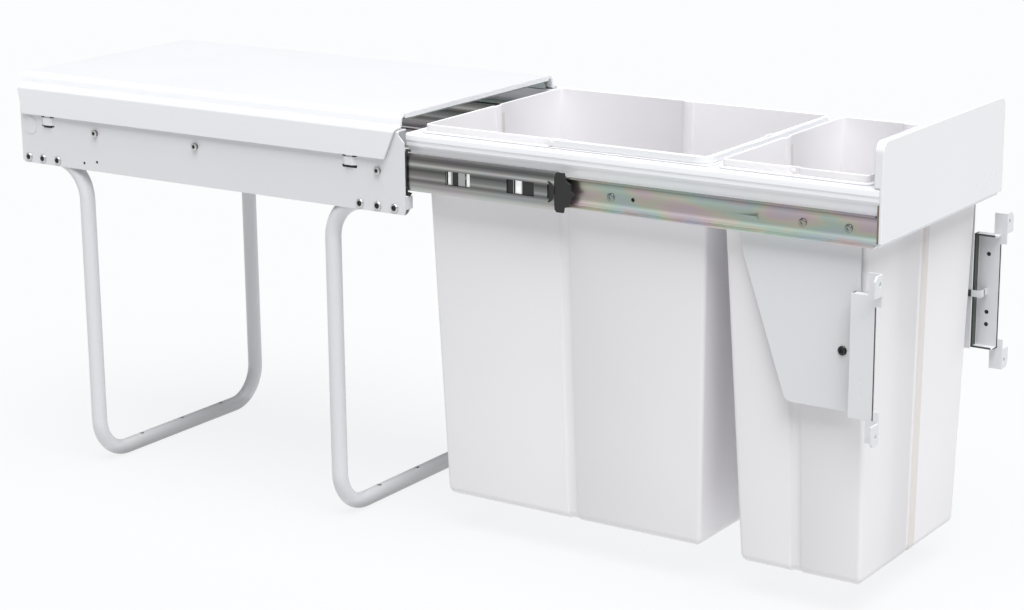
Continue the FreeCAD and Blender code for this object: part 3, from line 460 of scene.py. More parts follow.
# Painted light and painted shade: an even glow brightens the bins in shade, and a darker band marks the
# shaded slope of the front and rear grooves.
BIN = Finish("bin_plastic", "bin_plastic", (0.765, 0.755, 0.775, 1.0), (0.745, 0.735, 0.755, 1.0),
             (0.36, 0.44), coat=0.08, grain_per_metre=700, grain_depth=0.00003, glow=0.05,
             middle=(0.0035, 0.0125, (0.66, 0.63, 0.61, 1.0)))
# Painted light: the nylon blocks glow where they lie in shade inside the windows.
NYLON = Finish("white_nylon", "white_nylon", grey(0.92), grey(0.90), (0.40, 0.50), glow=0.45)
BLACK = Finish("black_plastic", "black_plastic", grey(0.010, 1.05), grey(0.016, 1.05), (0.42, 0.55),
               grain_depth=0.00005)
# Painted shade: a brown strip in the gap between the slide's end and the front panel.
GAP_SHADE = Finish("brown_rubber", "black_plastic", (0.24, 0.19, 0.14, 1.0), (0.20, 0.16, 0.12, 1.0), (0.6, 0.7))
BALL = Finish("ball_steel", "ball_steel", grey(0.70), grey(0.66), (0.08, 0.12), metal=1.0)
DARK = Finish("dark_screw", "dark_screw", grey(0.06), grey(0.04), (0.32, 0.45), metal=0.85)
# Painted shade: near black, for the discs and pads that stand for the shade inside holes, slots, sockets and
# bores.
SHADE = Finish("dark_recess", "dark_screw", grey(0.015), grey(0.010), (0.6, 0.7))
# Painted shade: the bracket's rear lip and arm are dark, and its cut edges are dark, partly as painted shade.
BRACKET = BracketFinish("bracket_zinc", "zinc_plate", grey(0.70, BLUE), (0.05, 0.06, 0.05, 1.0))
MIDDLE = ZincFinish("middle_zinc", "zinc_plate", 0.25, 0.20, (0.26, 0.40), bands=MIDDLE_LIGHT_BANDS)
INNER = ZincFinish("inner_zinc", "zinc_plate", 0.85, 0.38, bands=INNER_LIGHT_BANDS)
ZINC = ZincFinish("zinc_plate", "zinc_plate", 0.9, 0.30)
SCREW = ZincFinish("screw_steel", "screw_steel", 0.10, 0.62, (0.28, 0.40))
CAGE = ZincFinish("cage_steel", "cage_steel", 0.10, 0.40)


# ------------------------------------------------------------------ mesh helpers
def put_on(obj: Piece, look: Look) -> Piece:
    """Gives a piece its only material."""
    obj.data.materials.clear()
    obj.data.materials.append(look.material())
    return obj


def smooth(mesh: bpy.types.Mesh, angle: float) -> None:
    """Shades a mesh smooth, with sharp edges above an angle in degrees."""
    mesh.polygons.foreach_set("use_smooth", np.ones(len(mesh.polygons), bool))
    mesh.set_sharp_from_angle(angle=math.radians(angle))


def linked(name: str, mesh: bpy.types.Mesh) -> Piece:
    """Puts a mesh into the scene as an object at the origin."""
    obj = bpy.data.objects.new(name, mesh)
    bpy.context.scene.collection.objects.link(obj)
    return obj


def grid_piece(name: str, points: np.ndarray, closed: bool = False, angle: float = CORNER) -> Piece:
    """A surface through a grid of points whose rows are closed loops.

    The point of row u and column v is joined to its neighbours; columns wrap round. The rows wrap
    round too if closed, and otherwise the first and last rows are filled.

    Args:
        name: the piece's name.
        points: array of shape (rows, columns, 3).
        closed: whether the last row meets the first.
        angle: degrees above which an edge stays sharp.

    Returns:
        The piece.
    """
    rows, columns = points.shape[:2]
    count = rows if closed else rows - 1
    u = np.repeat(np.arange(count), columns)
    v = np.tile(np.arange(columns), count)
    u2 = (u + 1) % rows
    v2 = (v + 1) % columns
    quads = np.stack([u * columns + v, u * columns + v2, u2 * columns + v2, u2 * columns + v], 1)
    faces = quads.tolist()
    if not closed:
        first = np.arange(columns)
        faces.append(first[::-1].tolist())
        faces.append((first + (rows - 1) * columns).tolist())
    mesh = bpy.data.meshes.new(name)
    mesh.from_pydata(points.reshape(-1, 3).tolist(), [], faces)
    tidy(mesh)
    smooth(mesh, angle)
    return linked(name, mesh)


def tidy(mesh: bpy.types.Mesh) -> None:
    """Merges doubles, drops empty faces and points all faces outwards."""
    work = bmesh.new()
    work.from_mesh(mesh)
    bmesh.ops.remove_doubles(work, verts=work.verts, dist=WELD)
    bmesh.ops.dissolve_degenerate(work, edges=work.edges, dist=EMPTY)
    bmesh.ops.recalc_face_normals(work, faces=work.faces)
    work.to_mesh(mesh)
    work.free()


def turned(name: str, profile: Sequence[Pair], centre: Vector, axis: Vector, segments: int = 36) -> Piece:
    """A turned piece: the profile's (radius, height) pairs spun round the axis.

    The point at height h and angle a is centre + h * axis + radius * (cos a * p + sin a * q), with
    p and q square to the axis.

    Args:
        name: the piece's name.
        profile: radius and height pairs in metres, from one end of the axis to the other.
        centre: where height is 0.
        axis: direction of growing height.
        segments: points round the axis.

    Returns:
        The piece.
    """
    along = np.array(axis.normalized())
    p = np.array(axis.orthogonal().normalized())
    q = np.cross(along, p)
    radii, heights = np.array(profile).T[:, :, None, None]
    angle = np.linspace(0, 2 * math.pi, segments, endpoint=False)
    ring = np.cos(angle)[:, None] * p + np.sin(angle)[:, None] * q
    return grid_piece(name, np.array(centre) + heights * along + radii * ring)


def route_through(corners: Sequence[Vector], radius: float, per_bend: int) -> np.ndarray:
    """Points along straight runs joined by quarter bends.

    In a bend at a corner, with unit vectors back and ahead along the two runs, the point at angle a
    is corner + radius * ((back + ahead) - ahead * cos a - back * sin a).

    Args:
        corners: start, the corners of the bends, and end.
        radius: centre-line radius of every bend.
        per_bend: points in each bend.

    Returns:
        Array of shape (n, 3).
    """
    angle = np.linspace(0, math.pi / 2, per_bend)[:, None]
    parts = [np.array([corners[0]])]
    for before, corner, after in zip(corners, corners[1:], corners[2:]):
        back = np.array((before - corner).normalized())
        ahead = np.array((after - corner).normalized())
        turn = back + ahead - ahead * np.cos(angle) - back * np.sin(angle)
        parts.append(np.array(corner) + radius * turn)
    parts.append(np.array([corners[-1]]))
    return np.concatenate(parts)


def tube_rings(route: np.ndarray, radius: float, segments: int) -> np.ndarray:
    """Rings round a route: each is the first ring carried along without twist.

    The point at angle a is the route's point + radius * (cos a * p + sin a * q); p is carried from
    each point to the next by taking off its part along the new direction.

    Args:
        route: array of shape (n, 3).
        radius: of the tube.
        segments: points in a ring.

    Returns:
        Array of shape (n, segments, 3).
    """
    step = np.gradient(route, axis=0)
    step /= np.linalg.norm(step, axis=1, keepdims=True)
    p = np.array(Vector(step[0]).orthogonal().normalized())
    normals = []
    for direction in step:
        p = p - direction * float(p @ direction)
        p = p / np.linalg.norm(p)
        normals.append(p)
    normals = np.array(normals)
    others = np.cross(step, normals)
    angle = np.linspace(0, 2 * math.pi, segments, endpoint=False)[None, :, None]
    return route[:, None] + radius * (np.cos(angle) * normals[:, None] + np.sin(angle) * others[:, None])


def bored(obj: Piece, holes: Sequence[Piece]) -> Piece:
    """Cuts holes through a piece for good, and removes the cutters."""
    for hole in holes:
        cut = obj.modifiers.new("hole", "BOOLEAN")
        cut.operation = "DIFFERENCE"
        cut.solver = "EXACT"
        cut.object = hole
    bpy.context.view_layer.update()
    result = obj.evaluated_get(bpy.context.evaluated_depsgraph_get())
    mesh = bpy.data.meshes.new_from_object(result)
    mesh.name = obj.name
    obj.modifiers.clear()
    obj.data = mesh
    for hole in holes:
        bpy.data.objects.remove(hole)
    smooth(mesh, CORNER)
    return obj


def copied(node: str) -> Piece:
    """A merged copy of a solid, with its flat faces whole."""
    work = bmesh.new()
    work.from_mesh(frame["nodes"][node].data)
    bmesh.ops.remove_doubles(work, verts=work.verts, dist=DOUBLES)
    bmesh.ops.dissolve_limit(work, angle_limit=math.radians(FLAT), verts=work.verts, edges=work.edges)
    bmesh.ops.recalc_face_normals(work, faces=work.faces)
    work.verts.index_update()
    spots = [v.co.copy() for v in work.verts]
    faces = [[v.index for v in f.verts] for f in work.faces]
    work.free()
    mesh = bpy.data.meshes.new(node + "_dressed")
    mesh.from_pydata(spots, [], faces)
    return linked(node + "_dressed", mesh)


def soften(obj: Piece, edge: float, segments: int, angle: float = 32.0) -> Piece:
    """Rounds a piece's edges and shades its flat faces flat.

    Args:
        obj: the piece.
        edge: radius of the rounding in metres; 0 leaves the edges sharp.
        segments: steps across it.
        angle: degrees from which an edge counts as one.

    Returns:
        The piece.
    """
    smooth(obj.data, angle)
    if edge > 0:
        soft = obj.modifiers.new("soft_edges", "BEVEL")
        soft.width = edge
        soft.segments = segments
        soft.limit_method = "ANGLE"
        soft.angle_limit = math.radians(angle)
        soft.use_clamp_overlap = True
    even = obj.modifiers.new("even_shading", "WEIGHTED_NORMAL")
    even.keep_sharp = True
    return obj


def stand_for(obj: Piece, node: str, look: Look) -> Piece:
    """Gives a piece its finish and lets it stand for a solid, on the solid's body."""
    put_on(obj, look)
    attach(obj, frame["nodes"][node]["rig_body"])
    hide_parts(node)
    return obj


def dressed(node: str, look: Look, edge: float, segments: int = 2, cuts: Sequence[tuple] = ()) -> Piece:
    """A merged copy of a solid with softened edges, which stands for the solid.

    Args:
        node: the solid's name.
        look: its finish.
        edge: radius of the softened edges in metres; 0 leaves them sharp.
        segments: steps across a softened edge.
        cuts: boxes taken away, each the lowest and highest corner in metres.

    Returns:
        The piece.
    """
    obj = copied(node)
    if cuts:
        obj = bored(obj, [block("cut", low, high) for low, high in cuts])
    return stand_for(soften(obj, edge, segments), node, look)


def added(name: str, pieces: Sequence[Piece], look: Look, body: str) -> None:
    """Joins pieces that no solid stands for and lets them ride a body."""
    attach(put_on(merged(name, pieces), look), body)


def disc(radius: float, low: float, high: float, axis: float = AXIS) -> list[Pair]:
    """Profile of a round plate between two heights, which ends at the radius axis."""
    return [(axis, low), (radius, low), (radius, high), (axis, high)]


def block(name: str, low: Sequence[float], high: Sequence[float]) -> Piece:
    """A box between two corners, as a cutter."""
    (x0, y0, z0), (x1, y1, z1) = low, high
    ring = np.array([(x0, y0, z0), (x1, y0, z0), (x1, y1, z0), (x0, y1, z0)])
    return grid_piece(name, np.stack([ring, ring + (0, 0, z1 - z0)]))


def pad(name: str, outline: Sequence[Pair], near: float, far: float) -> Piece:
    """A flat pad whose (y, z) outline is drawn at x = near and x = far, with its far rim chamfered."""
    slope, edge = 0.15, 0.8
    ring = np.array(outline)
    middle = ring.mean(0)
    small = middle + (ring - middle) * (1 - slope * abs(far - near) / np.abs(ring - middle).max())
    rows = []
    for x, loop in ((near, ring), (far * edge + near * (1 - edge), ring), (far, small)):
        rows.append(np.column_stack([np.full(len(loop), x), loop]))
    return grid_piece(name, np.array(rows))


def window(y: float, z: float, width: float, height: float, corner: float) -> list[Pair]:
    """A rounded oblong round (y, z): corner points are centre + corner * (cos a, sin a)."""
    points, steps = [], 4
    for quarter, (sy, sz) in enumerate(((1, 1), (-1, 1), (-1, -1), (1, -1))):
        for step in range(steps + 1):
            a = math.pi / 2 * (quarter + step / steps)
            points.append((y + sy * (width / 2 - corner) + corner * math.cos(a),
                           z + sz * (height / 2 - corner) + corner * math.sin(a)))
    return points


# ------------------------------------------------------------------ fasteners
@dataclass
class ButtonScrew:
    """A button-head screw with a round recess in its head."""

    head_radius: float = 4.3 * MM
    head_height: float = 1.9 * MM
    recess_radius: float = 2.8 * MM
    recess_depth: float = 1.1 * MM
    recess_rim: float = 0.3 * MM
    recess_fill: float = 0.98
    recess_floor: Pair = mm(-0.1, 0.12)
    shank_radius: float = 1.95 * MM
    length: float = 5.5 * MM
    dome_share: float = 0.72

    def profile(self) -> list[Pair]:
        """Radius and height pairs, from the recess's floor round the dome to the shank's end.

        The dome is a quarter of an ellipse: radius r0 + (r1 - r0) * sin a at height h * cos a.
        """
        flat = max(self.head_radius / 2, self.recess_radius + self.recess_rim)
        rise = self.head_height * self.dome_share
        foot = self.head_height - rise
        angle = np.linspace(0, math.pi / 2, ARC)
        dome = zip(flat + (self.head_radius - flat) * np.sin(angle), foot + rise * np.cos(angle))
        floor = self.head_height - self.recess_depth
        start = [(AXIS, floor), (self.recess_radius, floor), (self.recess_radius, self.head_height)]
        end = [(self.head_radius, 0.0), (self.shank_radius, 0.0), (self.shank_radius, -self.length),
               (AXIS, -self.length)]
        return start + [(float(r), float(h)) for r, h in dome] + end

    def build(self, name: str, seat: Vector, outward: Vector) -> list[Piece]:
        """The screw and a disc at the floor of its recess, which is painted shade when it is dark."""
        body = turned(name, self.profile(), seat, outward)
        low, high = (self.head_height - self.recess_depth + step for step in self.recess_floor)
        floor = disc(self.recess_radius * self.recess_fill, low, high)
        return [body, turned(name + "_recess", floor, seat, outward, SMALL)]


def screwed(node: str, kind: ButtonScrew, look: Look, recess: Look, height: float = 1.8 * MM) -> None:
    """Button-head screws in place of a node's plain ones, which point along X.

    Args:
        node: the screws' node.
        kind: the screws' sizes.
        look: finish of the screws.
        recess: finish of the recesses' floors; a dark one is painted shade in the sockets.
        height: of the plain screws' heads.
    """
    screws, recesses = [], []
    for low, high in islands(node):
        outward = 1 if low.x > 0 else -1
        x = (high.x if outward > 0 else low.x) - outward * height
        seat = Vector((x, (low.y + high.y) / 2, (low.z + high.z) / 2))
        body, floor = kind.build("screw", seat, Vector((outward, 0, 0)))
        screws.append(body)
        recesses.append(floor)
    stand_for(merged(node + "_button_screws", screws), node, look)
    added(node + "_recesses", recesses, recess, frame["nodes"][node]["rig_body"])


@dataclass
class RivetHead:
    """The turned-over head of a hollow rivet.

    floor and brim are shares of its height, at the foot and the top of the bore, and crown is the
    (share of the radius, share of the height) from which it falls to its edge. ground holds the
    shares of the height between which the dark disc in the bore lies; the disc is painted shade.
    """

    radius: float = 3.7 * MM
    height: float = 0.95 * MM
    bore: float = 2.0 * MM
    lip: float = 0.4 * MM
    floor: float = 0.35
    brim: float = 0.9
    crown: Pair = (0.8, 0.92)
    ground: Pair = (0.3, 0.45)

    def build(self, name: str, seat: Vector, outward: Vector) -> list[Piece]:
        """The head, a low ring, and a dark disc of painted shade in its bore."""
        r, h, bore, low = self.radius, self.height, self.bore, self.floor * self.height
        ring = [(AXIS, low), (bore, low), (bore, self.brim * h), (bore + self.lip, h),
                (self.crown[0] * r, self.crown[1] * h), (r, low), (r, 0.0), (AXIS, 0.0)]
        hole = disc(bore, *(share * h for share in self.ground))
        return [turned(name, ring, seat, outward), turned(name + "_bore", hole, seat, outward, SMALL)]


def merged(name: str, pieces: Sequence[Piece]) -> Piece:
    """Joins several pieces of one finish into one."""
    work = bmesh.new()
    for piece in pieces:
        work.from_mesh(piece.data)
    mesh = bpy.data.meshes.new(name)
    work.to_mesh(mesh)
    work.free()
    for piece in pieces:
        bpy.data.objects.remove(piece)
    smooth(mesh, CORNER)
    return linked(name, mesh)


def islands(node: str) -> list[tuple[Vector, Vector]]:
    """Lowest and highest corners of each separate solid of a node.

    Args:
        node: the node's name.

    Returns:
        One pair of corners for each solid.
    """
    work = bmesh.new()
    work.from_mesh(frame["nodes"][node].data)
    bmesh.ops.remove_doubles(work, verts=work.verts, dist=DOUBLES)
    left = set(work.verts)
    found = []
    while left:
        group = {left.pop()}
        edge = list(group)
        while edge:
            vertex = edge.pop()
            for link in vertex.link_edges:
                other = link.other_vert(vertex)
                if other in left:
                    left.remove(other)
                    group.add(other)
                    edge.append(other)
        spots = np.array([v.co for v in group])
        found.append((Vector(spots.min(0)), Vector(spots.max(0))))
    work.free()
    return sorted(found, key=lambda pair: tuple(pair[0]))


# ------------------------------------------------------------------ sub-assemblies
SLIDE_LEVEL = 363.5 * MM
THIN_EDGE = 0.12 * MM  # rounding of the slides' rolled sheet


@dataclass
class Housing:
    """The fixed part: side plates, lid, rails, end caps and the slides' rivets.

    slots is (height from the strap's level, height) of the gaps above and below a strap, and
    lances is (y, width of its gaps) of each strap. pinhole is (width, height, corner). The dark pads
    are painted shade in the gaps and small holes; they lie between two shares of the plate's face,
    slot_faces and hole_faces.
    """

    plate_edge: float = 0.25 * MM
    rail_edge: float = 0.15 * MM
    cap_edge: float = 0.3 * MM
    lid_edge: float = 1.2 * MM
    rivet_places: tuple[float, ...] = mm(-225.55, 1.95, 137.35)
    plate_face: float = 139.03 * MM
    lances: Pairs = (mm(-191.75, 17.0), mm(204.25, 12.0))
    lance_level: float = 369.5 * MM
    slots: Pairs = (mm(-5.6, 2.6), mm(5.2, 1.0))
    slot_corner: float = 0.45 * MM
    pinholes: Pairs = (mm(155.1, 330.3), mm(137.3, 333.0), mm(230.9, 366.2))
    pinhole: Triple = mm(2.8, 2.8, 1.39)
    slot_faces: Pair = (0.998, 1.0)
    hole_faces: Pair = (0.999, 1.0005)

    def rivets(self) -> None:
        """Hollow rivet heads over the outer sections' plain ones."""
        for side in Side:
            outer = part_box(f"{side.word}_side_plate")[1 if side is Side.RIGHT else 0].x
            outward = Vector((side.value, 0, 0))
            pairs = [RivetHead().build("rivet", Vector((outer, y, SLIDE_LEVEL)), outward)
                     for y in self.rivet_places]
            heads, bore_shades = zip(*pairs)
            added(f"{side.word}_rivet_heads", heads, SCREW, "housing")
            # painted shade: the dark discs in the rivets' bores
            added(f"{side.word}_rivet_bores", bore_shades, SHADE, "housing")

    def dark_marks(self) -> None:
        """Painted shade: dark pads in the slots beside the pressed straps, and on the small holes."""
        for side in Side:
            face = side.value * self.plate_face
            pads = []
            for y, width in self.lances:
                for step, height in self.slots:
                    oblong = window(y, self.lance_level + step, width, height, self.slot_corner)
                    pads.append(pad("slot", oblong, *(face * share for share in self.slot_faces)))
            for y, z in self.pinholes:
                dot = window(y, z, *self.pinhole)
                pads.append(pad("hole", dot, *(face * share for share in self.hole_faces)))
            added(f"{side.word}_plate_openings", pads, SHADE, "housing")

    def build(self) -> None:
        """Dresses the housing's solids and adds the rivets and the painted shade of the openings."""
        for side in Side:
            dressed(f"{side.word}_side_plate", POWDER, self.plate_edge)
            dressed(f"{side.word}_outer_slide", ZINC, THIN_EDGE, 1)
            dressed(f"{side.word}_outer_end_cap", BLACK, self.cap_edge)
        dressed("top_lid", PLASTIC, self.lid_edge, 3)
        dressed("front_cross_rail", ZINC, self.rail_edge)
        dressed("rear_cross_rail", ZINC, self.rail_edge)
        self.rivets()
        self.dark_marks()
        log.info("housing dressed")


@dataclass
class Legs:
    """Two bent tubes with their screws."""

    radius: float = 8.0 * MM
    wall: float = 1.2 * MM
    bend: float = 40.0 * MM
    hole_radius: float = 2.6 * MM
    hole_pitch: float = 66.0 * MM
    run_level: float = 329.0 * MM
    tube_points: int = 40
    bend_points: int = 14
    drill_points: int = 32

    def tube(self, name: str, direction: int) -> Piece:
        """One leg: a hollow round tube carried along its bends, with the floor screws' holes.

        Args:
            name: the leg's node.
            direction: -1 for the leg whose ends turn to the front, 1 for the rear.

        Returns:
            The piece.
        """
        low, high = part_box(name)
        x = high.x - self.radius
        y = direction * self.pitch() / 2
        end = low.y if direction < 0 else high.y
        corners = [Vector((-x, end, self.run_level)), Vector((-x, y, self.run_level)),
                   Vector((-x, y, self.radius)), Vector((x, y, self.radius)),
                   Vector((x, y, self.run_level)), Vector((x, end, self.run_level))]
        route = route_through(corners, self.bend, self.bend_points)
        outside = tube_rings(route, self.radius, self.tube_points)
        inside = tube_rings(route, self.radius - self.wall, self.tube_points)[::-1]
        tube = grid_piece(name + "_tube", np.concatenate([outside, inside]), closed=True)
        drills = []
        for share in (-1, 0, 1):
            spot = Vector((share * self.hole_pitch, y, -self.radius))
            profile = disc(self.hole_radius, 0.0, 4 * self.radius, TIP)
            drills.append(turned("drill", profile, spot, Vector((0, 0, 1)), self.drill_points))
        return bored(tube, drills)

    @staticmethod
    def pitch() -> float:
        """Distance between the two legs' middle lines, from the record's floor screws."""
        mounts = {mount["name"]: mount for mount in frame["record"]["mounts"]}
        return mounts["floor_screws"]["dims"]["spacing_y_mm"] * MM

    def build(self) -> None:
        """Builds both legs and their screws."""
        for name, direction in (("front_leg", -1), ("rear_leg", 1)):
            stand_for(self.tube(name, direction), name, TUBE)
            # painted shade: dark discs in the screws' sockets
            screwed(name + "_screws", ButtonScrew(), SCREW, SHADE)
        log.info("legs built")


@dataclass
class Slides:
    """The moving parts of the two three-section slides.

    The end stop is a crescent round stop_centre with (width, half height) of its outer and inner arc.
    A ball's profile has ball_points[0] points, from ball_pole radians off one pole to the other, and
    is turned in ball_points[1] steps.
    """

    buffer_edge: float = 0.25 * MM
    block_edge: float = 0.3 * MM
    liner_faces: Pair = mm(133.85, 134.3)
    liner_ends: Pairs = (mm(-314.5, -308.5), mm(-376.0, -370.0), mm(-399.5, -386.5))
    liner_height: float = 12.6 * MM
    liner_corner: float = 0.4 * MM
    stop_faces: Pair = mm(135.5, 135.85)
    stop_centre: float = -415.0 * MM
    stop_outer: Pair = mm(7.0, 10.0)
    stop_inner: Pair = mm(2.0, 9.0)
    stop_points: int = 13
    ball_pole: float = 0.02
    ball_points: tuple[int, int] = (12, 20)

    def balls(self, side: Side, place: str) -> None:
        """Round balls in place of a cage's flat-sided ones.

        Args:
            side: left or right.
            place: outer or inner.
        """
        node = f"{side.word}_{place}_balls"
        rings, around = self.ball_points
        angle = np.linspace(self.ball_pole, math.pi - self.ball_pole, rings)
        made = []
        for low, high in islands(node):
            radius = max(high - low) / 2
            profile = [(float(radius * math.sin(a)), float(-radius * math.cos(a))) for a in angle]
            made.append(turned("ball", profile, (low + high) / 2, Vector((0, 1, 0)), around))
        stand_for(merged(node + "_round", made), node, BALL)

    def arc(self, width: float, half: float, way: int) -> list[Pair]:
        """Half an ellipse: (stop_centre - width * cos a, SLIDE_LEVEL + half * sin a), up for way 1."""
        angle = np.linspace(-math.pi / 2, math.pi / 2, self.stop_points)[::way]
        return [(self.stop_centre - width * math.cos(a), SLIDE_LEVEL + half * math.sin(a)) for a in angle]

    def liners(self, side: Side) -> None:
        """Painted shade: black pads behind the middle section's windows; and its crescent end stop."""
        pads = []
        # painted shade: black pads seen through the windows
        for y0, y1 in self.liner_ends:
            oblong = window((y0 + y1) / 2, SLIDE_LEVEL, y1 - y0, self.liner_height, self.liner_corner)
            pads.append(pad("liner", oblong, *(side.value * x for x in self.liner_faces)))
        crescent = self.arc(*self.stop_outer, 1) + self.arc(*self.stop_inner, -1)
        pads.append(pad("stop", crescent, *(side.value * x for x in self.stop_faces)))
        added(f"{side.word}_slide_liners", pads, BLACK, f"{side.word}_middle_section")

    def build(self) -> None:
        """Dresses the middle and inner sections, buffers, cages and balls."""
        for side in Side:
            word = side.word
            dressed(f"{word}_middle_slide", MIDDLE, THIN_EDGE, 1)
            dressed(f"{word}_inner_slide", INNER, THIN_EDGE, 1)
            dressed(f"{word}_middle_buffer", BLACK, self.buffer_edge)
            dressed(f"{word}_stop_blocks", NYLON, self.block_edge)
            for place in ("outer", "inner"):
                dressed(f"{word}_{place}_cage", CAGE, 0.0)
                self.balls(side, place)
            self.liners(side)
        log.info("slides dressed")


@dataclass
class Carriage:
    """The bin frame, front panel, brackets and their screws.

    The arm between side and door bracket keeps only arm_levels of its height arm_ends. It is cut to
    arm_y inside the channel, up to arm_web, and as far back as arm_rear inside the side bracket.
    """

    frame_edge: float = 0.8 * MM
    panel_edge: float = 0.8 * MM
    plate_edge: float = 0.25 * MM
    channel_edge: float = 0.2 * MM
    set_back: tuple[tuple[float, ...], ...] = ((-0.2, -0.76, 0.19), (0.2, -0.7215, 0.3505))
    arm_ends: Pair = mm(234.5, 273.5)
    arm_levels: Pair = mm(251.0, 257.0)
    arm_front: float = -733.5 * MM
    arm_cuts: Pairs = (mm(133.55, -728.0), mm(120.15, -690.0))
    arm_inside: float = 117.0 * MM
    plug: Triple = mm(133.8, 2.15, 1.2)
    plug_y: float = -731.25 * MM
    plug_levels: tuple[float, ...] = mm(222.0, 234.0, 290.0)
    bumper: tuple[float, ...] = mm(-739.1, 369.5, 2.1, 33.0, 0.5)
    bumper_faces: Pair = mm(125.0, 127.6)
    rail_hole: tuple[float, ...] = mm(-499.35, 363.5, 6.6, 6.6, 3.29)
    rail_hole_faces: Pair = mm(124.9, 125.2)

    def door_bracket(self, side: Side) -> None:
        """The channel, with its arm made slim, and discs in its spare holes: painted shade on the right."""
        cuts = []
        for z0, z1 in zip((self.arm_ends[0], self.arm_levels[1]), (self.arm_levels[0], self.arm_ends[1])):
            for reach, rear in self.arm_cuts:
                x0, x1 = sorted((side.value * self.arm_inside, side.value * reach))
                cuts.append(((x0, self.arm_front, z0), (x1, rear, z1)))
        dressed(f"{side.word}_door_bracket", BRACKET, self.channel_edge, cuts=cuts)
        x, radius, height = self.plug
        outward = Vector((side.value, 0, 0))
        seats = [Vector((side.value * x, self.plug_y, z)) for z in self.plug_levels]
        fill_and_shade_discs = [turned("plug", disc(radius, 0.0, height, TIP), seat, outward, SMALL) for seat in seats]
        # painted shade on the right side: dark discs in the spare holes; on the left they take the bracket's
        # colour
        added(f"{side.word}_hole_plugs", fill_and_shade_discs, SHADE if side is Side.RIGHT else BRACKET, "carriage")

    def flat(self, side: Side, name: str, sizes: tuple[float, ...], faces: Pair, look: Look) -> None:
        """A flat piece of window's sizes between two distances from the middle plane."""
        piece = pad(f"{side.word}_{name}", window(*sizes), *(side.value * x for x in faces))
        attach(put_on(piece, look), "carriage")

    def build(self) -> None:
        """Dresses the carriage's solids; the side brackets' fronts are set back below the panel.

        The flat pieces are painted shade: the brown strip in the gap between slide and panel, and the dark
        disc in a spare hole of the rail.
        """
        dressed("bin_frame", RAIL, self.frame_edge)
        dressed("front_panel", PLASTIC, self.panel_edge, 3)
        for side in Side:
            dressed(f"{side.word}_side_bracket", POWDER, self.plate_edge, cuts=[self.set_back])
            self.door_bracket(side)
            # painted shade: the brown strip in the gap between the slide's end and the panel
            self.flat(side, "end_bumper", self.bumper, self.bumper_faces, GAP_SHADE)
            screwed(f"{side.word}_frame_screws", ButtonScrew(*mm(3.7, 1.6, 1.5)), ZINC, CAGE)
            # painted shade: a dark disc in the rail's spare hole
            self.flat(side, "rail_hole", self.rail_hole, self.rail_hole_faces, SHADE)
        # painted shade: dark discs in the clamp screws' sockets
        screwed("clamp_screws", ButtonScrew(*mm(4.2, 2.0, 1.9)), DARK, SHADE)
        log.info("carriage dressed")


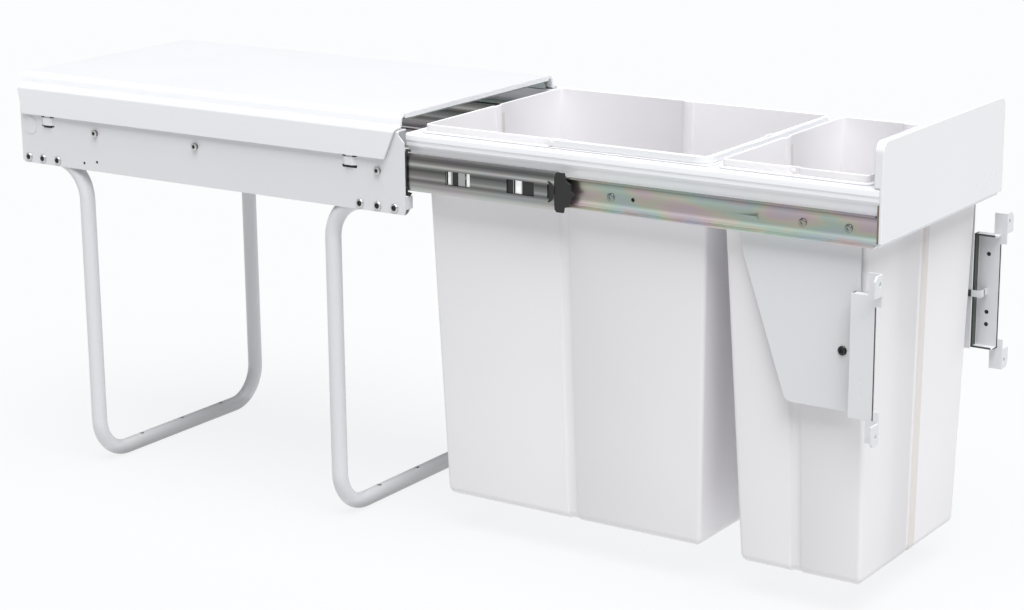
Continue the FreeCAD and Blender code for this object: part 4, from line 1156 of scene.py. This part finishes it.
@dataclass
class BinShape:
    """Sizes of a bin, in metres; y0 and y1 are its ends at the rim."""

    y0: float
    y1: float
    bottom: float
    front_taper: float
    rear_taper: float
    half: float = 118.8 * MM
    bottom_half: float = 99.5 * MM
    rim: float = 409.0 * MM
    wall: float = 2.0 * MM
    corner: float = 4.5 * MM
    least_corner: float = 1.5 * MM
    groove_half: float = 6.5 * MM
    groove_slope: float = 2.0 * MM
    groove_depth: float = 2.5 * MM
    foot: float = 9.0 * MM
    flange: float = 4.5 * MM
    flange_low: float = 400.8 * MM
    flange_high: float = 402.3 * MM
    flange_round: float = 0.3 * MM
    foot_start: float = 0.12
    crease: float = 50.0

    def loop(self, z: float, inset: float, groove: float) -> np.ndarray:
        """The closed outline at one height.

        It is an oblong with corner points c + r * (cos a, sin a), pulled in by the inset, and in the
        middle of each side a groove whose walls follow an S over groove_slope.

        Args:
            z: height.
            inset: distance inside the outer wall.
            groove: depth of the grooves, 0 for none.

        Returns:
            Array of shape (n, 3).
        """
        share = (self.rim - z) / (self.rim - self.bottom)
        x = self.half - (self.half - self.bottom_half) * share - inset
        a = self.y0 + self.front_taper * share + inset
        b = self.y1 - self.rear_taper * share - inset
        r = max(self.corner - inset, self.least_corner)
        down = self.groove_half - self.groove_slope * np.array([0.0, 0.3, 0.65, 1.0])
        marks = np.concatenate([-down, down[::-1]])
        steps = np.array([0.0, 0.2, 0.8, 1.0]) * groove
        depths = np.concatenate([steps, steps[::-1]])
        ym = (self.y0 + self.y1) / 2
        angle = np.linspace(0, math.pi / 2, ARC)
        points = []
        sides = ((1, 0, x, ym), (0, 1, b, 0.0), (-1, 0, x, ym), (0, -1, -a, 0.0))
        corners = ((1, 1), (-1, 1), (-1, -1), (1, -1))
        for index, ((nx, ny, reach, middle), (sx, sy)) in enumerate(zip(sides, corners)):
            for mark, depth in zip(marks, depths):
                if nx:
                    points.append((nx * (reach - depth), middle + nx * mark))
                else:
                    points.append((middle - ny * mark, ny * (reach - depth)))
            cx, cy = sx * (x - r), (b - r if sy > 0 else a + r)
            start = index * math.pi / 2
            points.extend((cx + r * math.cos(start + t), cy + r * math.sin(start + t)) for t in angle)
        flat = np.array(points)
        return np.column_stack([flat, np.full(len(flat), z)])

    def shell(self, name: str) -> Piece:
        """The bin: round foot, tapered grooved walls, flange, rolled rim, and the same walls inside.

        In the foot, at angle t, the height is bottom + foot * (1 - cos t) and the inset is
        foot * (1 - sin t). The rim is half a circle as wide as the wall.
        """
        depth, wall, foot, half = self.groove_depth, self.wall, self.foot, self.wall / 2
        turn = np.linspace(self.foot_start, math.pi / 2, 8)
        under, over = self.flange_low, self.flange_high
        rows = [(self.bottom + foot * (1 - math.cos(t)), foot * (1 - math.sin(t)), depth) for t in turn]
        low = self.bottom + foot
        rows += [(low + (under - low) * share, 0.0, depth) for share in np.linspace(0.2, 1.0, 5)]
        rows += [(z, -self.flange * share, 0.0) for z, share in (
            (under, 0.9), (under + self.flange_round, 1.0), (over - self.flange_round, 1.0), (over, 0.9))]
        rows.append((over, 0.0, depth))
        crown = self.rim - half
        rows += [(crown + half * math.sin(t), half * (1 - math.cos(t)), depth)
                 for t in np.linspace(0, math.pi, ARC)]
        low += wall
        rows += [(low + (crown - low) * share, wall, depth) for share in np.linspace(0.8, 0.0, 5)]
        rows += [(low - foot * math.cos(t), wall + foot * (1 - math.sin(t)), depth) for t in turn[-2::-1]]
        return grid_piece(name, np.array([self.loop(*row) for row in rows]), angle=self.crease)


@dataclass(frozen=True)
class BinKind:
    """What sets one bin apart: its foot, tapers and pins, and the pins' place if not the middle."""

    node: str
    bottom: float
    front_taper: float
    rear_taper: float
    pin_reach: float
    pin_head: float
    pin_y: float | None = None


@dataclass
class Bins:
    """The two bins and the large one's handle."""

    kinds: tuple[BinKind, ...] = (
        BinKind("large_bin", *mm(36.6, 13.7, 6.7, 3.7, 2.6, -409.75)),
        BinKind("small_bin", *mm(31.8, 5.6, 14.5, 1.8, 1.8)),
    )
    pin_level: float = 405.6 * MM
    pin_radius: float = 1.8 * MM
    pin_root: float = -1.0 * MM
    pin_cap: Triple = mm(0.6, 0.8, 0.2)
    handle_edge: float = 0.8 * MM

    def pins(self, shape: BinShape, kind: BinKind) -> list[Piece]:
        """Moulded pins on both sides of a bin, each with a chamfered head."""
        r, reach, head = self.pin_radius, kind.pin_reach, kind.pin_head
        shoulder, cap, chamfer = self.pin_cap
        profile = [(TIP, self.pin_root), (r, self.pin_root), (r, reach), (head, reach),
                   (head, reach + shoulder), (head - chamfer, reach + cap), (TIP, reach + cap)]
        y = (shape.y0 + shape.y1) / 2 if kind.pin_y is None else kind.pin_y
        return [turned("pin", profile, Vector((side.value * shape.half, y, self.pin_level)),
                       Vector((side.value, 0, 0)), SMALL) for side in Side]

    def build(self) -> None:
        """Builds the bins and dresses the handle."""
        for kind in self.kinds:
            low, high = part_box(kind.node)
            shape = BinShape(low.y + BinShape.flange, high.y - BinShape.flange, kind.bottom,
                             kind.front_taper, kind.rear_taper)
            pieces = [shape.shell(kind.node + "_shell")] + self.pins(shape, kind)
            stand_for(merged(kind.node + "_moulded", pieces), kind.node, BIN)
        dressed("large_bin_handle", PLASTIC, self.handle_edge, 3)
        log.info("bins built")


# ------------------------------------------------------------------ studio
@dataclass
class Studio:
    """Floor, light and the camera at the photograph's angle."""

    image_width: float = 1024.0
    image_height: float = 610.0
    sensor: float = 36.0
    focal_pixels: float = 2407.29
    centre_pixels: Pair = (516.86, 296.98)
    azimuth: float = -56.253
    elevation: float = 14.654
    roll: float = -0.485
    eye: Triple = (-1.92856, -1.57823, 0.82371)
    sun: float = 5.2
    sun_spread: float = 55.0
    sun_toward: Triple = (-0.20, -0.25, 0.92)
    sky: float = 0.25
    sky_colour: Colour = (0.97, 0.98, 1.0, 1.0)
    floor_reach: float = 30.0
    floor_base: Colour = (0.07, 0.07, 0.07, 1.0)
    floor_glow: float = 0.862
    floor_colour: Colour = (0.985, 0.99, 1.0, 1.0)
    far_clip: float = 60.0

    def camera(self) -> None:
        """Places the camera: it looks along -back, and its sides are turned by the roll.

        back is (sin az cos el, -cos az cos el, sin el), right is forward x up, and the roll turns
        right and up round the line of sight.
        """
        az, el, roll = (math.radians(a) for a in (self.azimuth, self.elevation, self.roll))
        back = Vector((math.sin(az) * math.cos(el), -math.cos(az) * math.cos(el), math.sin(el)))
        right = (-back).cross(Vector((0, 0, 1))).normalized()
        up = right.cross(-back)
        side = right * math.cos(roll) + up * math.sin(roll)
        top = up * math.cos(roll) - right * math.sin(roll)
        data = bpy.data.cameras.new("camera")
        data.sensor_fit = "HORIZONTAL"
        data.sensor_width = self.sensor
        data.lens = self.sensor * self.focal_pixels / self.image_width
        data.shift_x = (self.image_width / 2 - self.centre_pixels[0]) / self.image_width
        data.shift_y = (self.centre_pixels[1] - self.image_height / 2) / self.image_width
        data.clip_end = self.far_clip
        camera = bpy.data.objects.new("camera", data)
        camera.matrix_world = Matrix.Translation(self.eye) @ Matrix((side, top, back)).transposed().to_4x4()
        bpy.context.scene.collection.objects.link(camera)
        bpy.context.scene.camera = camera

    def floor(self) -> None:
        """A wide pale floor that glows a little, so that shadows on it stay faint."""
        mesh = bpy.data.meshes.new("floor")
        reach = self.floor_reach
        corners = [(-reach, -reach, 0), (reach, -reach, 0), (reach, reach, 0), (-reach, reach, 0)]
        mesh.from_pydata(corners, [], [(0, 1, 2, 3)])
        paint = Paint("floor")
        mesh.materials.append(paint.surface({
            "Base Color": self.floor_base,
            "Roughness": 1.0,
            "Specular IOR Level": 0.0,
            "Emission Color": self.floor_colour,
            "Emission Strength": self.floor_glow,
        }))
        linked("floor", mesh)

    def light(self) -> None:
        """A dim even room, and a broad soft light from above, in front and the left."""
        world = bpy.data.worlds.new("room")
        world.use_nodes = True
        sky = world.node_tree.nodes["Background"]
        sky.inputs["Color"].default_value = self.sky_colour
        sky.inputs["Strength"].default_value = self.sky
        bpy.context.scene.world = world
        data = bpy.data.lights.new("overhead", "SUN")
        data.energy = self.sun
        data.angle = math.radians(self.sun_spread)
        lamp = bpy.data.objects.new("overhead", data)
        lamp.matrix_world = Vector(self.sun_toward).to_track_quat("Z", "Y").to_matrix().to_4x4()
        bpy.context.scene.collection.objects.link(lamp)

    def build(self) -> None:
        """Sets up the whole studio."""
        self.floor()
        self.light()
        self.camera()
        bpy.context.scene.view_settings.view_transform = "Standard"
        log.info("studio set")


def main() -> None:
    """Builds every sub-assembly."""
    logging.basicConfig(level=logging.INFO)
    for part in (Housing, Legs, Slides, Carriage, Bins):
        part().build()
    Studio().build()


if __name__ == "__main__":
    main()
